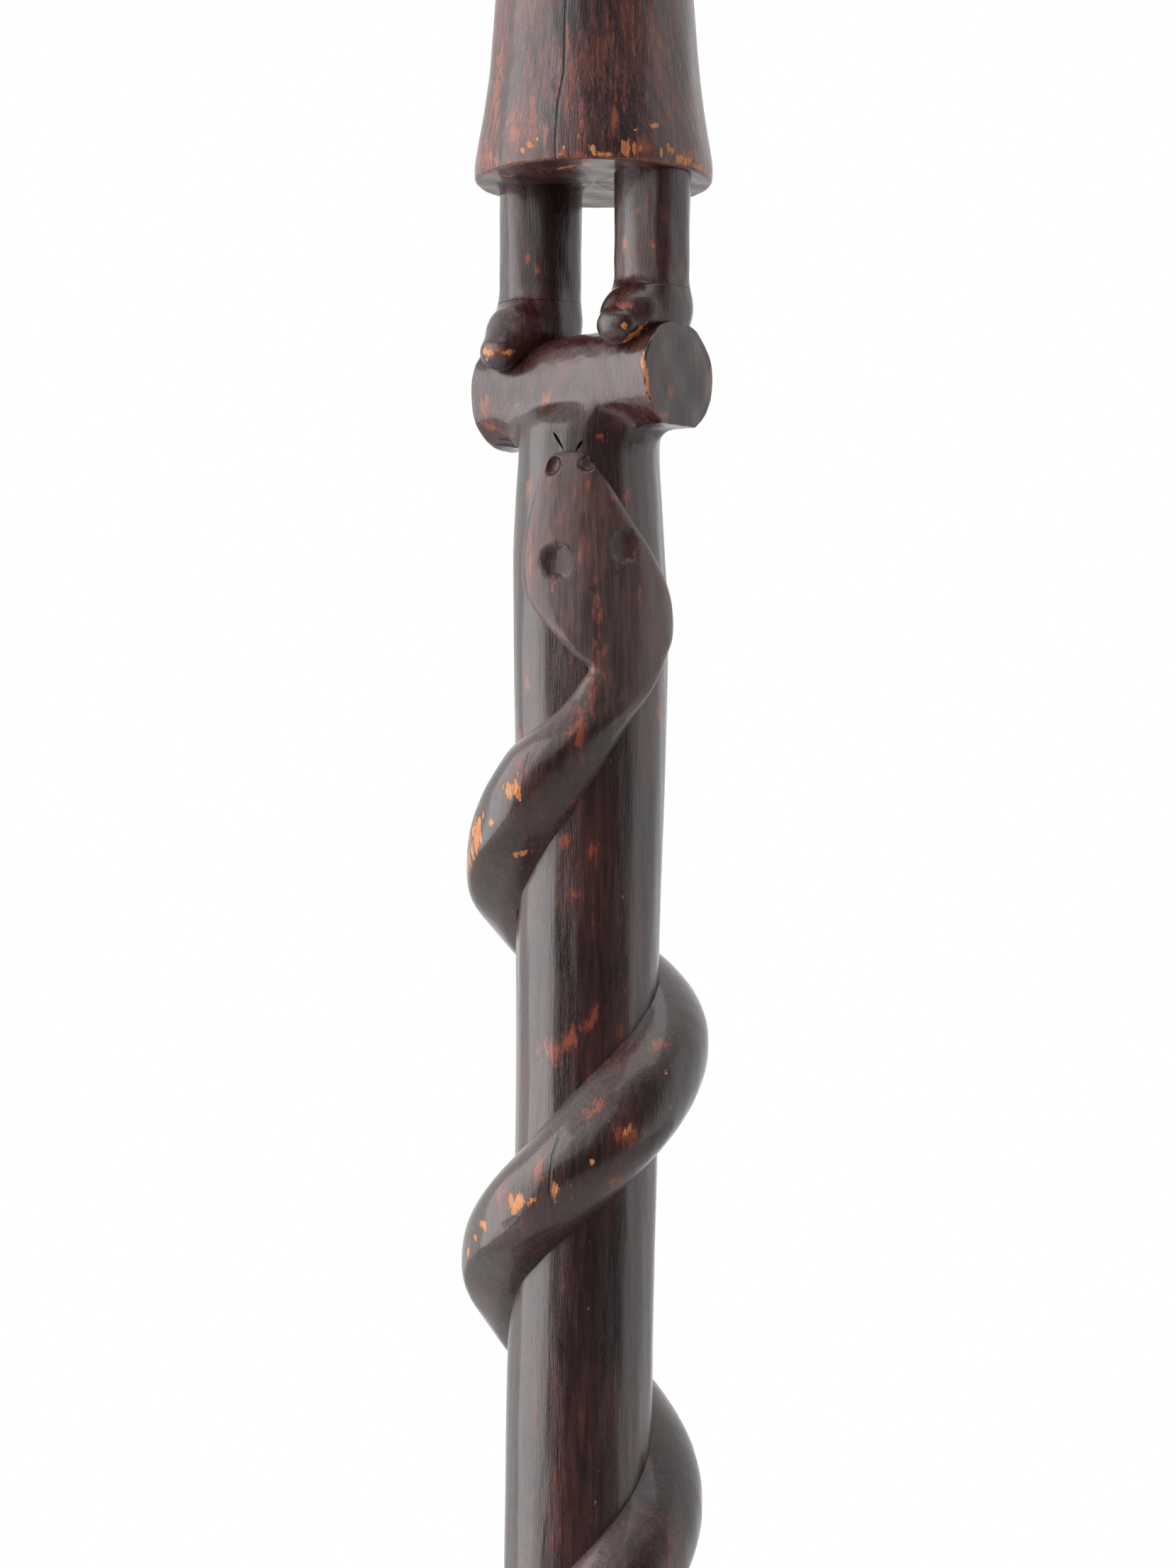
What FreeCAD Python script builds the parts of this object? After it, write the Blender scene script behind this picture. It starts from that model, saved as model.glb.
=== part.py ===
"""A carved walking stick, in millimetres.

A staff stands on a metal ferrule. A snake in relief winds down the staff, its head just
under a short round log that lies across the staff's top. A robed figure stands on the log
and its head is the knob of the stick.

Frame: +Z up, the origin at the centre of the ferrule's foot, the snake's face towards -Y.
The figure looks along -Y of its own frame, which is turned about Z by figure_turn.
"""
import FreeCAD
import Part
import math
import os
from FreeCAD import Vector

# Joints between the carved members
glue_gap = 0.1
overrun = 2.0

# Ferrule and its pin
ferrule_length = 34.0
ferrule_diameter = 19.0
ferrule_wall = 1.2
ferrule_floor = 3.0
ferrule_edge_round = 1.0
pin_height = 27.0
pin_diameter = 2.4
pin_depth = 8.0

# Staff
shaft_length = 714.0
foot_girth = 20.0
middle_girth = 24.6
coil_girth = 27.2
head_girth = 29.0
saddle_girth = 26.8
saddle_rise = 8.0
saddle_lip = 1.0
saddle_swell = 0.7
shaft_tenon_diameter = 12.0
shaft_tenon_length = 9.0
# Height of each girth as a share of the staff's length above the ferrule
middle_girth_share = 0.44
coil_girth_share = 0.80
head_girth_share = 0.955

# Log
log_length = 43.0
log_diameter = 20.6
log_waist_depth = 0.6
log_far_round = 1.2
log_near_chamfer = 0.4
log_flat_depth = 0.9
log_flat_length = 7.0

# Figure, as seen from itself: its left is the end of the log nearer to the camera
figure_turn = -40.0
left_leg_place = 14.6
right_leg_place = 13.0
leg_set_back = 0.7
left_leg_diameter = 14.2
right_leg_diameter = 15.2
leg_length = 21.5
leg_tenon_diameter = 7.0
leg_tenon_length = 7.0
foot_tenon_length = 4.5

# Foot
ankle_height = 6.4
foot_length = 21.6
heel_length = 7.0
foot_width = 14.8
foot_height = 9.6
toe_drop = 8.6

# Robe and belt
robe_height = 56.5
hem_girth = 45.0
waist_girth = 34.4
hem_round = 1.4
robe_shift = 0.6
belt_height = 5.0
belt_diameter = 36.6
belt_thickness = 4.8

# Torso
torso_stub_diameter = belt_diameter - 2 * belt_thickness
torso_height = 44.0
shoulder_width = 37.4
shoulder_depth = 25.0
collar_diameter = 16.8
torso_tenon_diameter = 16.0
torso_tenon_length = 12.0

# Arms and hands
sleeve_diameter = 10.8
elbow_diameter = 10.2
cuff_diameter = 8.6
shoulder_drop = 11.5
elbow_drop = 21.0
elbow_spread = 3.4
elbow_back = 3.0
wrist_rise = 4.0
wrist_spread = 8.4
wrist_forward = 15.6
hand_length = 9.5
hand_width = 6.6
hand_thickness = 4.2
hand_step = 3.6

# Head and hair
neck_height = 4.5
skull_width = 23.4
skull_depth = 26.4
skull_height = 28.2
nose_length = 6.4
nose_width = 4.6
nose_rise = 2.4
ear_height = 6.2
ear_thickness = 2.4
hair_thickness = 1.3
hairline_tilt = 39.0
neck_tenon_diameter = 9.0
neck_tenon_length = 10.0
# Levels on the head as shares of the skull's height
nose_level_share = 0.36
ear_level_share = 0.46
neck_reach_share = 0.17
hairline_level_share = 0.50
# Depth of the ear as a share of its height
ear_depth_share = 0.62

# Snake
snake_head_length = 41.5
snake_head_width = 25.2
snake_head_rise = 2.7
snake_head_gap = 3.6
snake_body_width = 18.6
snake_body_rise = 9.3
snake_root_depth = 4.0
snake_tail_width = 4.0
snake_tail_rise = 1.6
neck_length = 32.5
helix_lead = 70.5
helix_growth = 7.7
first_bulge_angle = -90.0
upper_turns = 1.0
lower_turns = 1.25
tail_turns = 1.25
sections_per_turn = 8
eye_diameter = 5.6
eye_depth = 2.2
nostril_diameter = 2.6
nostril_depth = 1.2
tongue_length = 4.0
tongue_width = 1.1
tongue_depth = 0.9
# Lean of each cut of the tongue from upright and its turn round the staff, in degrees
tongue_cuts = ((38.0, -4.0), (-22.0, 4.0))
# Power by which the tail's taper gathers towards the tip
tail_taper_power = 1.5
# Widest reach of a section of the relief as a share of the staff's radius
widest_reach_share = 0.98

# Outline of the snake's head from the nose to the neck: share of its length, angle on the
# staff in degrees, share of its width, share of its rise
snake_head_shares = (
    (0.000, -14.5, 0.14, 0.10),
    (0.030, -13.5, 0.27, 0.40),
    (0.080, -11.6, 0.40, 0.60),
    (0.175, -8.5, 0.53, 0.75),
    (0.310, -3.9, 0.69, 0.88),
    (0.475, -0.4, 0.87, 0.96),
    (0.620, 3.7, 1.00, 1.00),
    (0.750, 10.0, 0.91, 1.00),
    (0.845, 17.0, 0.76, 1.00),
    (1.000, 24.0, 0.52, 1.00),
)

# Neck from the jaws to the first bulge: angle on the staff in degrees, then shares of the
# neck's length, of the body's width and of the body's rise
neck_shares = (
    (24.0, 0.000, 0.68, 0.30),
    (15.0, 0.160, 0.71, 0.32),
    (-3.0, 0.370, 0.75, 0.44),
    (-28.0, 0.606, 0.83, 0.68),
    (-58.0, 0.810, 0.93, 0.88),
)

# Places of the eye and nostril pits: angle on the staff, share of the head's length
eye_shares = ((-20.6, 0.505), (22.4, 0.430))
nostril_shares = ((-26.0, 0.080), (0.0, 0.065))

# Flare of the robe: share of its height, share of the hem's spread beyond the waist
flare_shares = ((0.13, 0.855), (0.23, 0.69), (0.37, 0.51), (0.61, 0.31))

# Foot from heel to toe: share of its length, width, height and of the toe's drop
foot_shares = (
    (0.00, 0.42, 0.46, 0.20),
    (0.06, 0.78, 0.80, 0.16),
    (0.30, 1.00, 1.00, 0.05),
    (0.52, 0.98, 0.98, 0.16),
    (0.74, 0.90, 0.84, 0.50),
    (0.92, 0.66, 0.56, 0.86),
    (1.00, 0.28, 0.22, 1.00),
)

# Hand from wrist to finger tips: shares of its length and of its girth
hand_shares = ((-0.15, 0.70), (0.15, 0.92), (0.50, 1.00), (0.80, 0.84), (1.00, 0.40))

# Points round an oval of the body or the relief, and round a smaller one
oval_points = 16
small_oval_points = 12

# Torso above the belt: share of its height, shares of the shoulders' width and depth
torso_shares = (
    (0.00, 0.83, 1.19),
    (0.28, 0.92, 1.08),
    (0.52, 1.00, 1.04),
    (0.70, 0.985, 0.97),
    (0.83, 0.80, 0.86),
)

# Head above the neck: share of its height, shares of the skull's width and depth, and the
# share of the depth by which the section stands forward
head_shares = (
    (0.000, 0.62, 0.56, 0.02),
    (0.055, 0.66, 0.70, 0.07),
    (0.170, 0.84, 0.86, 0.05),
    (0.340, 0.95, 0.95, 0.02),
    (0.540, 1.00, 1.00, -0.01),
    (0.740, 0.97, 0.98, -0.03),
    (0.900, 0.76, 0.80, -0.03),
    (0.975, 0.44, 0.48, -0.03),
    (1.000, 0.18, 0.20, -0.03),
)

# Heights that stack up from the foot
shaft_top = ferrule_floor + shaft_length
log_radius = log_diameter / 2
log_axis = shaft_top + log_radius - log_waist_depth
log_top = log_axis + log_radius
ankle_top = log_top + ankle_height
hem_level = ankle_top + leg_length
robe_top = hem_level + robe_height
belt_top = robe_top + belt_height
torso_top = robe_top + torso_height
shoulder_level = torso_top - shoulder_drop
chin_level = torso_top + neck_height

Z_AXIS = Vector(0, 0, 1)
X_AXIS = Vector(1, 0, 0)


def spline_ring(points):
    """Return a closed smooth wire through the points."""
    curve = Part.BSplineCurve()
    curve.interpolate(Points=points, PeriodicFlag=True)
    return Part.Wire([curve.toShape()])


def skin(rings):
    """Return the solid whose skin passes smoothly through the closed rings."""
    return Part.makeLoft(rings, True, False, False, 3)


def turned(outline, axis):
    """Return the solid that a closed outline sweeps about an axis through the origin."""
    return Part.Face(outline).revolve(Vector(0, 0, 0), axis, 360)


def upright(radius, length, place):
    """Return a cylinder that rises from a place."""
    return Part.makeCylinder(radius, length, place, Z_AXIS)


def one_solid(shape):
    """Return the largest solid of a shape, so that no sliver of a cut stays with it."""
    return max(shape.Solids, key=lambda solid: solid.Volume)


def in_figure_frame(shape):
    """Turn a shape from the figure's own frame to the stick's."""
    placed = shape.copy()
    placed.rotate(Vector(0, 0, 0), Z_AXIS, figure_turn)
    return placed


def oval_ring(half_width, half_depth, place):
    """Return a level oval about a place, in the figure's frame."""
    points = []
    for index in range(oval_points):
        angle = 2 * math.pi * index / oval_points
        offset = Vector(half_width * math.cos(angle), half_depth * math.sin(angle), 0)
        points.append(place + offset)
    return spline_ring(points)


# Staff

def shaft_stations():
    """Return the heights and radii that the staff's side passes through."""
    above = shaft_top - ferrule_length
    return (
        (ferrule_length, foot_girth / 2),
        (ferrule_length + above * middle_girth_share, middle_girth / 2),
        (ferrule_length + above * coil_girth_share, coil_girth / 2),
        (ferrule_length + above * head_girth_share, head_girth / 2),
        (shaft_top, saddle_girth / 2),
    )


def shaft_radius(height):
    """Return the staff's radius at a height, straight between the stations."""
    stations = shaft_stations()
    for (low, low_radius), (high, high_radius) in zip(stations, stations[1:]):
        if height <= high:
            share = (height - low) / (high - low)
            return low_radius + share * (high_radius - low_radius)
    return stations[-1][1]


def make_shaft(log):
    """Return the staff, saddled under the log, with a tenon up into it."""
    socket_radius = ferrule_diameter / 2 - ferrule_wall - glue_gap / 2
    saddle_top = shaft_top + saddle_rise
    below_axis = log_axis - saddle_top
    saddle_radius = math.sqrt(log_radius ** 2 - below_axis ** 2) + saddle_lip
    side = Part.BSplineCurve()
    side.interpolate([Vector(radius, 0, height) for height, radius in shaft_stations()])
    shoulder_middle = Vector(
        (saddle_girth / 2 + saddle_radius) / 2 + saddle_swell, 0, shaft_top + saddle_rise / 2)
    foot = Vector(0, 0, ferrule_floor)
    foot_edge = Vector(socket_radius, 0, ferrule_floor)
    socket_mouth = Vector(socket_radius, 0, ferrule_length)
    side_start = Vector(foot_girth / 2, 0, ferrule_length)
    side_end = Vector(saddle_girth / 2, 0, shaft_top)
    lip = Vector(saddle_radius, 0, saddle_top)
    crown = Vector(0, 0, saddle_top)
    outline = Part.Wire([
        Part.makeLine(foot, foot_edge),
        Part.makeLine(foot_edge, socket_mouth),
        Part.makeLine(socket_mouth, side_start),
        side.toShape(),
        Part.Arc(side_end, shoulder_middle, lip).toShape(),
        Part.makeLine(lip, crown),
        Part.makeLine(crown, foot),
    ])
    shaft = turned(outline, Z_AXIS).cut(log)
    shaft = one_solid(shaft)
    tenon_base = Vector(0, 0, shaft_top - overrun)
    tenon = upright(shaft_tenon_diameter / 2, shaft_tenon_length + overrun, tenon_base)
    return shaft.fuse(tenon).removeSplitter()


def cut_tongue(shaft):
    """Cut the forked tongue, two V grooves that spread upwards from the snake's nose."""
    nose_angle = snake_head_shares[0][1]
    for lean, spread in tongue_cuts:
        low = Vector(-tongue_width / 2, 0, 0)
        high = Vector(tongue_width / 2, 0, 0)
        deep = Vector(0, tongue_depth + overrun, 0)
        section = Part.makePolygon([low, high, deep, low])
        groove = Part.Face(section).extrude(Vector(0, 0, tongue_length))
        groove.rotate(Vector(0, 0, 0), Vector(0, 1, 0), -lean)
        reach = shaft_radius(snake_nose_level) + overrun
        groove.translate(Vector(0, -reach, snake_nose_level))
        groove.rotate(Vector(0, 0, 0), Z_AXIS, nose_angle + spread)
        shaft = shaft.cut(groove)
    return one_solid(shaft)


# Snake

snake_nose_level = shaft_top - snake_head_gap
neck_start_level = snake_nose_level - snake_head_length
first_bulge_level = neck_start_level - neck_length


def on_staff(angle, height, radius):
    """Return the point at an angle round the staff, counted from its front to its right."""
    turn = math.radians(angle)
    return Vector(radius * math.sin(turn), -radius * math.cos(turn), height)


def relief_points(angle, height, slope, half_width, rise):
    """Return an oval section of the relief, set across a path that falls at a slope.

    The slope is the angle in degrees between the section's plane and the level. The oval
    leaves the staff's surface at its two sides, and it starts and ends at its root, which
    lies inside the staff.
    """
    radius = shaft_radius(height)
    tilt = math.radians(slope)
    outward = on_staff(angle, 0, 1)
    level_side = on_staff(angle + 90, 0, 1)
    side = level_side * math.cos(tilt) - Z_AXIS * math.sin(tilt)
    reach = min(half_width * math.cos(tilt), radius * widest_reach_share)
    sink = radius - math.sqrt(radius ** 2 - reach ** 2)
    centre = on_staff(angle, height, radius - sink)
    points = []
    for index in range(oval_points + 1):
        turn = 2 * math.pi * (index % oval_points) / oval_points - math.pi / 2
        lift = (rise + sink) if math.sin(turn) > 0 else snake_root_depth
        along = side * half_width * math.cos(turn)
        points.append(centre + along + outward * lift * math.sin(turn))
    return points


def relief(sections):
    """Return the smooth closed solid through the sections of a run of relief."""
    surface = Part.BSplineSurface()
    surface.interpolate(sections)
    side = surface.toShape()
    faces = [side]
    for edge in side.Edges:
        if edge.isClosed():
            faces.append(Part.Face(Part.Wire([edge])))
    closed = Part.Compound(faces)
    closed.sewShape()
    solid = Part.Solid(closed.Shells[0])
    if solid.Volume < 0:
        solid.reverse()
    return solid


def helix_level(turns):
    """Return the body's height after a number of turns below its first bulge."""
    return first_bulge_level - helix_lead * turns - helix_growth * turns ** 2


def path_slope(before, after, radius):
    """Return the tilt of a section between two (angle, height) points of the path."""
    across = math.radians(before[0] - after[0]) * radius
    fall = before[1] - after[1]
    return math.degrees(math.atan2(across, fall))


def turn_steps(turns):
    """Return how many sections a number of turns is divided into."""
    return max(round(turns * sections_per_turn), 2)


def snake_path():
    """Return (angle, height, width, rise) at each section from the jaws to the tip."""
    path = []
    for angle, fall_share, width_share, rise_share in neck_shares:
        height = neck_start_level - fall_share * neck_length
        path.append((angle, height, snake_body_width * width_share, snake_body_rise * rise_share))
    start = 0
    for run_turns, taper_end in ((upper_turns, 0), (lower_turns, 0), (tail_turns, 1)):
        steps = turn_steps(run_turns)
        for index in range(steps):
            turns = start + run_turns * index / steps
            taper = taper_end * (index / steps) ** tail_taper_power
            path.append(coil_section(turns, taper))
        start += run_turns
    path.append(coil_section(start, 1))
    return path


def coil_section(turns, taper):
    """Return (angle, height, width, rise) after some turns; the taper is 1 at the tip."""
    width = snake_body_width + taper * (snake_tail_width - snake_body_width)
    rise = snake_body_rise + taper * (snake_tail_rise - snake_body_rise)
    return first_bulge_angle - 360 * turns, helix_level(turns), width, rise


def make_snake_runs(shaft, snake_head):
    """Return the neck, the two coils and the tail, end to end on one path."""
    path = snake_path()
    sections = []
    for index, (angle, height, width, rise) in enumerate(path):
        before = path[max(index - 1, 0)]
        after = path[min(index + 1, len(path) - 1)]
        slope = path_slope(before, after, shaft_radius(height))
        sections.append(relief_points(angle, height, slope, width / 2, rise))
    first = len(neck_shares)
    second = first + turn_steps(upper_turns)
    third = second + turn_steps(lower_turns)
    neck = relief(sections[:first + 1]).cut(snake_head)
    runs = {
        "snake_neck": neck,
        "snake_upper_coil": relief(sections[first:second + 1]),
        "snake_lower_coil": relief(sections[second:third + 1]),
        "snake_tail": relief(sections[third:]),
    }
    return {name: one_solid(run.cut(shaft)) for name, run in runs.items()}


def make_snake_head(shaft):
    """Return the snake's head with its eye and nostril pits."""
    sections = []
    for fall_share, angle, width_share, rise_share in snake_head_shares:
        height = snake_nose_level - snake_head_length * fall_share
        half_width = snake_head_width / 2 * width_share
        rise = snake_head_rise * rise_share
        sections.append(relief_points(angle, height, 0, half_width, rise))
    head = relief(sections)
    pits = (
        (eye_shares, eye_diameter, eye_depth),
        (nostril_shares, nostril_diameter, nostril_depth),
    )
    for places, diameter, depth in pits:
        for angle, fall_share in places:
            height = snake_nose_level - snake_head_length * fall_share
            crest = shaft_radius(height) + snake_head_rise
            start = on_staff(angle, height, crest - depth)
            outward = on_staff(angle, 0, 1)
            pit = Part.makeCylinder(diameter / 2, depth + overrun, start, outward)
            head = head.cut(pit)
    return one_solid(head.cut(shaft))


# Ferrule

def make_ferrule():
    """Return the metal cup with its pin hole."""
    outer = ferrule_diameter / 2
    cup = upright(outer, ferrule_length, Vector(0, 0, 0))
    foot_edges = [edge for edge in cup.Edges
                  if edge.Curve.TypeId == "Part::GeomCircle" and edge.CenterOfMass.z < overrun]
    cup = cup.makeFillet(ferrule_edge_round, foot_edges)
    socket_depth = ferrule_length - ferrule_floor
    socket = upright(outer - ferrule_wall, socket_depth + overrun, Vector(0, 0, ferrule_floor))
    cup = cup.cut(socket)
    return one_solid(cup.cut(pin_blank(pin_diameter / 2)))


def pin_blank(radius):
    """Return a level pin from beyond the ferrule's back towards the axis."""
    start = Vector(0, ferrule_diameter / 2 + overrun, pin_height)
    return Part.makeCylinder(radius, pin_depth + overrun, start, Vector(0, -1, 0))


def make_ferrule_pin():
    """Return the pin, filed flush with the ferrule's side."""
    side = upright(ferrule_diameter / 2, ferrule_length, Vector(0, 0, 0))
    return one_solid(pin_blank(pin_diameter / 2).common(side))


# Log, in the figure's frame

def make_log():
    """Return the log along X, rounded at its far end and sawn square at its near end."""
    half = log_length / 2
    edge = log_radius - log_near_chamfer
    diagonal = log_far_round * (1 - math.sqrt(0.5))
    far_centre = Vector(-half, 0, log_axis)
    far_low = Vector(-half, 0, log_axis + log_radius - log_far_round)
    far_mid = Vector(-half + diagonal, 0, log_axis + log_radius - diagonal)
    far_high = Vector(-half + log_far_round, 0, log_axis + log_radius)
    waist = Vector(0, 0, log_axis + log_radius - log_waist_depth)
    near_high = Vector(half - log_near_chamfer, 0, log_axis + log_radius)
    near_edge = Vector(half, 0, log_axis + edge)
    near_centre = Vector(half, 0, log_axis)
    side = Part.BSplineCurve()
    side.interpolate([far_high, waist, near_high])
    outline = Part.Wire([
        Part.makeLine(far_centre, far_low),
        Part.Arc(far_low, far_mid, far_high).toShape(),
        side.toShape(),
        Part.makeLine(near_high, near_edge),
        Part.makeLine(near_edge, near_centre),
        Part.makeLine(near_centre, far_centre),
    ])
    log = Part.Face(outline).revolve(Vector(0, 0, log_axis), X_AXIS, 360)
    # The seam of the round goes to the back, clear of the mortises
    log.rotate(Vector(0, 0, log_axis), X_AXIS, -90)
    flat = Part.makeBox(log_flat_length + overrun, log_diameter, log_radius)
    flat_top = log_axis - log_radius + log_flat_depth
    flat.translate(Vector(half - log_flat_length, -log_radius, flat_top - log_radius))
    return one_solid(log.cut(flat))


def cut_log_mortises(log):
    """Cut the mortises for the staff's tenon and for the two leg tenons."""
    bore = upright(shaft_tenon_diameter / 2 + glue_gap, shaft_tenon_length + overrun + glue_gap,
                   Vector(0, 0, shaft_top - overrun))
    log = log.cut(bore)
    for place in (left_leg_place, -right_leg_place):
        floor = log_top - foot_tenon_length - glue_gap
        start = Vector(place, leg_set_back, floor)
        log = log.cut(upright(leg_tenon_diameter / 2 + glue_gap, foot_tenon_length + overrun, start))
    return one_solid(log)


# Feet and legs, in the figure's frame

def make_foot(place, diameter, log):
    """Return a rounded foot that saddles the log, with a hole for the leg's tenon."""
    rings = []
    for length_share, width_share, height_share, drop_share in foot_shares:
        forward = foot_length * length_share - heel_length
        half_width = foot_width / 2 * width_share
        half_height = foot_height / 2 * height_share
        middle = log_top + ankle_height - foot_height / 2 - toe_drop * drop_share
        points = []
        for index in range(small_oval_points):
            angle = 2 * math.pi * index / small_oval_points
            points.append(Vector(place + half_width * math.cos(angle), leg_set_back - forward,
                                 middle + half_height * math.sin(angle)))
        rings.append(spline_ring(points))
    sole_level = log_axis
    ankle = upright(diameter / 2, ankle_top - sole_level, Vector(place, leg_set_back, sole_level))
    lid = upright(foot_length, foot_height, Vector(place, leg_set_back, ankle_top))
    foot = skin(rings).fuse(ankle).cut(lid).cut(log)
    foot = one_solid(foot)
    hole_start = Vector(place, leg_set_back, log_axis)
    return one_solid(foot.cut(upright(leg_tenon_diameter / 2 + glue_gap, log_diameter, hole_start)))


def make_leg(place, diameter):
    """Return a leg with a tenon up into the robe and one down through the foot."""
    base = Vector(place, leg_set_back, ankle_top)
    leg = upright(diameter / 2, leg_length, base)
    tenon_start = Vector(place, leg_set_back, log_top - foot_tenon_length)
    tenon_end = hem_level + leg_tenon_length
    tenon = upright(leg_tenon_diameter / 2, tenon_end - tenon_start.z, tenon_start)
    return leg.fuse(tenon).removeSplitter()


# Robe, belt and torso, in the figure's frame

def make_robe():
    """Return the robe from the hem to the waist, with mortises for the legs and the torso."""
    spread = (hem_girth - waist_girth) / 2
    hem_edge = Vector(hem_girth / 2, 0, hem_level + hem_round)
    flare = [hem_edge]
    for height_share, spread_share in flare_shares:
        flare.append(Vector(waist_girth / 2 + spread * spread_share, 0,
                            hem_level + robe_height * height_share))
    waist_edge = Vector(waist_girth / 2, 0, robe_top)
    flare.append(waist_edge)
    side = Part.BSplineCurve()
    side.interpolate(flare)
    diagonal = hem_round * (1 - math.sqrt(0.5))
    under_edge = Vector(hem_girth / 2 - hem_round, 0, hem_level)
    turn = Vector(hem_girth / 2 - diagonal, 0, hem_level + diagonal)
    middle = Vector(0, 0, hem_level)
    crown = Vector(0, 0, robe_top)
    outline = Part.Wire([
        Part.makeLine(middle, under_edge),
        Part.Arc(under_edge, turn, hem_edge).toShape(),
        side.toShape(),
        Part.makeLine(waist_edge, crown),
        Part.makeLine(crown, middle),
    ])
    robe = turned(outline, Z_AXIS)
    robe.translate(Vector(robe_shift, 0, 0))
    for place in (left_leg_place, -right_leg_place):
        start = Vector(place, leg_set_back, hem_level - overrun)
        depth = leg_tenon_length + glue_gap + overrun
        robe = robe.cut(upright(leg_tenon_diameter / 2 + glue_gap, depth, start))
    mortise_floor = robe_top - torso_tenon_length - glue_gap
    mortise = upright(torso_tenon_diameter / 2 + glue_gap, robe_top - mortise_floor + overrun,
                      Vector(robe_shift, 0, mortise_floor))
    return one_solid(robe.cut(mortise))


def make_belt():
    """Return the rolled girdle, a ring round the torso's foot."""
    round_depth = belt_height / 2
    inner = torso_stub_diameter / 2
    straight = belt_diameter / 2 - round_depth / 2
    low_inner = Vector(inner, 0, robe_top)
    low_outer = Vector(straight, 0, robe_top)
    bulge = Vector(belt_diameter / 2, 0, robe_top + belt_height / 2)
    high_outer = Vector(straight, 0, belt_top)
    high_inner = Vector(inner, 0, belt_top)
    outline = Part.Wire([
        Part.makeLine(low_inner, low_outer),
        Part.Arc(low_outer, bulge, high_outer).toShape(),
        Part.makeLine(high_outer, high_inner),
        Part.makeLine(high_inner, low_inner),
    ])
    belt = turned(outline, Z_AXIS)
    belt.translate(Vector(robe_shift, 0, 0))
    return belt


def make_torso():
    """Return the upper body with a tenon down into the robe and a mortise for the neck."""
    height = torso_top - belt_top
    rings = []
    for height_share, width_share, depth_share in torso_shares:
        place = Vector(robe_shift, 0, belt_top + height * height_share)
        rings.append(oval_ring(shoulder_width / 2 * width_share,
                               shoulder_depth / 2 * depth_share, place))
    collar = Vector(robe_shift, 0, torso_top)
    rings.append(oval_ring(collar_diameter / 2, collar_diameter / 2, collar))
    stub = upright(torso_stub_diameter / 2, belt_height, Vector(robe_shift, 0, robe_top))
    tenon_start = Vector(robe_shift, 0, robe_top - torso_tenon_length)
    tenon = upright(torso_tenon_diameter / 2, torso_tenon_length + overrun, tenon_start)
    torso = skin(rings).fuse(stub).fuse(tenon)
    mortise_floor = torso_top - neck_tenon_length - glue_gap
    mortise = upright(neck_tenon_diameter / 2 + glue_gap, neck_tenon_length + overrun,
                      Vector(robe_shift, 0, mortise_floor))
    return one_solid(torso.cut(mortise).removeSplitter())


# Arms and hands, in the figure's frame

def arm_points(side):
    """Return the shoulder, elbow and wrist of one arm; side is 1 for the left."""
    reach = shoulder_width / 2 - sleeve_diameter / 4
    shoulder = Vector(robe_shift + side * reach, 0, shoulder_level)
    elbow = Vector(robe_shift + side * (reach + elbow_spread), elbow_back,
                   shoulder_level - elbow_drop)
    wrist = Vector(robe_shift + side * wrist_spread, -wrist_forward, elbow.z + wrist_rise)
    return shoulder, elbow, wrist


def tapered_limb(start, end, start_diameter, end_diameter):
    """Return a tapered round limb with a ball at its start."""
    along = end - start
    rings = []
    for place, diameter in ((start, start_diameter), (end, end_diameter)):
        rings.append(Part.Wire([Part.makeCircle(diameter / 2, place, along)]))
    limb = Part.makeLoft(rings, True, True)
    return limb.fuse(Part.makeSphere(start_diameter / 2, start))


def make_arm(side, torso, belt):
    """Return one sleeved arm, bent at the elbow, laid against the torso."""
    shoulder, elbow, wrist = arm_points(side)
    upper = tapered_limb(shoulder, elbow, sleeve_diameter, elbow_diameter)
    fore = tapered_limb(elbow, wrist, elbow_diameter, cuff_diameter)
    return one_solid(upper.fuse(fore).cut(torso).cut(belt).removeSplitter())


def make_hand(side, torso, arm):
    """Return one hand, flat on the belly; the left one lies above the right one."""
    elbow, wrist = arm_points(side)[1:]
    end_height = wrist.z + side * hand_step
    tip = Vector(wrist.x - side * hand_length, wrist.y - hand_thickness / 4, end_height)
    along = tip - wrist
    along.normalize()
    across = Z_AXIS - along * along.dot(Z_AXIS)
    across.normalize()
    out = along.cross(across)
    rings = []
    for reach_share, girth_share in hand_shares:
        centre = wrist + along * hand_length * reach_share
        points = []
        for index in range(small_oval_points):
            angle = 2 * math.pi * index / small_oval_points
            points.append(centre + across * (hand_width / 2 * girth_share * math.cos(angle))
                          + out * (hand_thickness / 2 * girth_share * math.sin(angle)))
        rings.append(spline_ring(points))
    return one_solid(skin(rings).cut(arm).cut(torso))


# Head and hair, in the figure's frame

def skull(extra):
    """Return the head's egg shape, grown all round by extra."""
    rings = []
    for height_share, width_share, depth_share, forward_share in head_shares:
        grown_height = chin_level - extra + (skull_height + 2 * extra) * height_share
        place = Vector(robe_shift, -skull_depth * forward_share, grown_height)
        rings.append(oval_ring(skull_width / 2 * width_share + extra,
                               skull_depth / 2 * depth_share + extra, place))
    return skin(rings)


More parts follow.
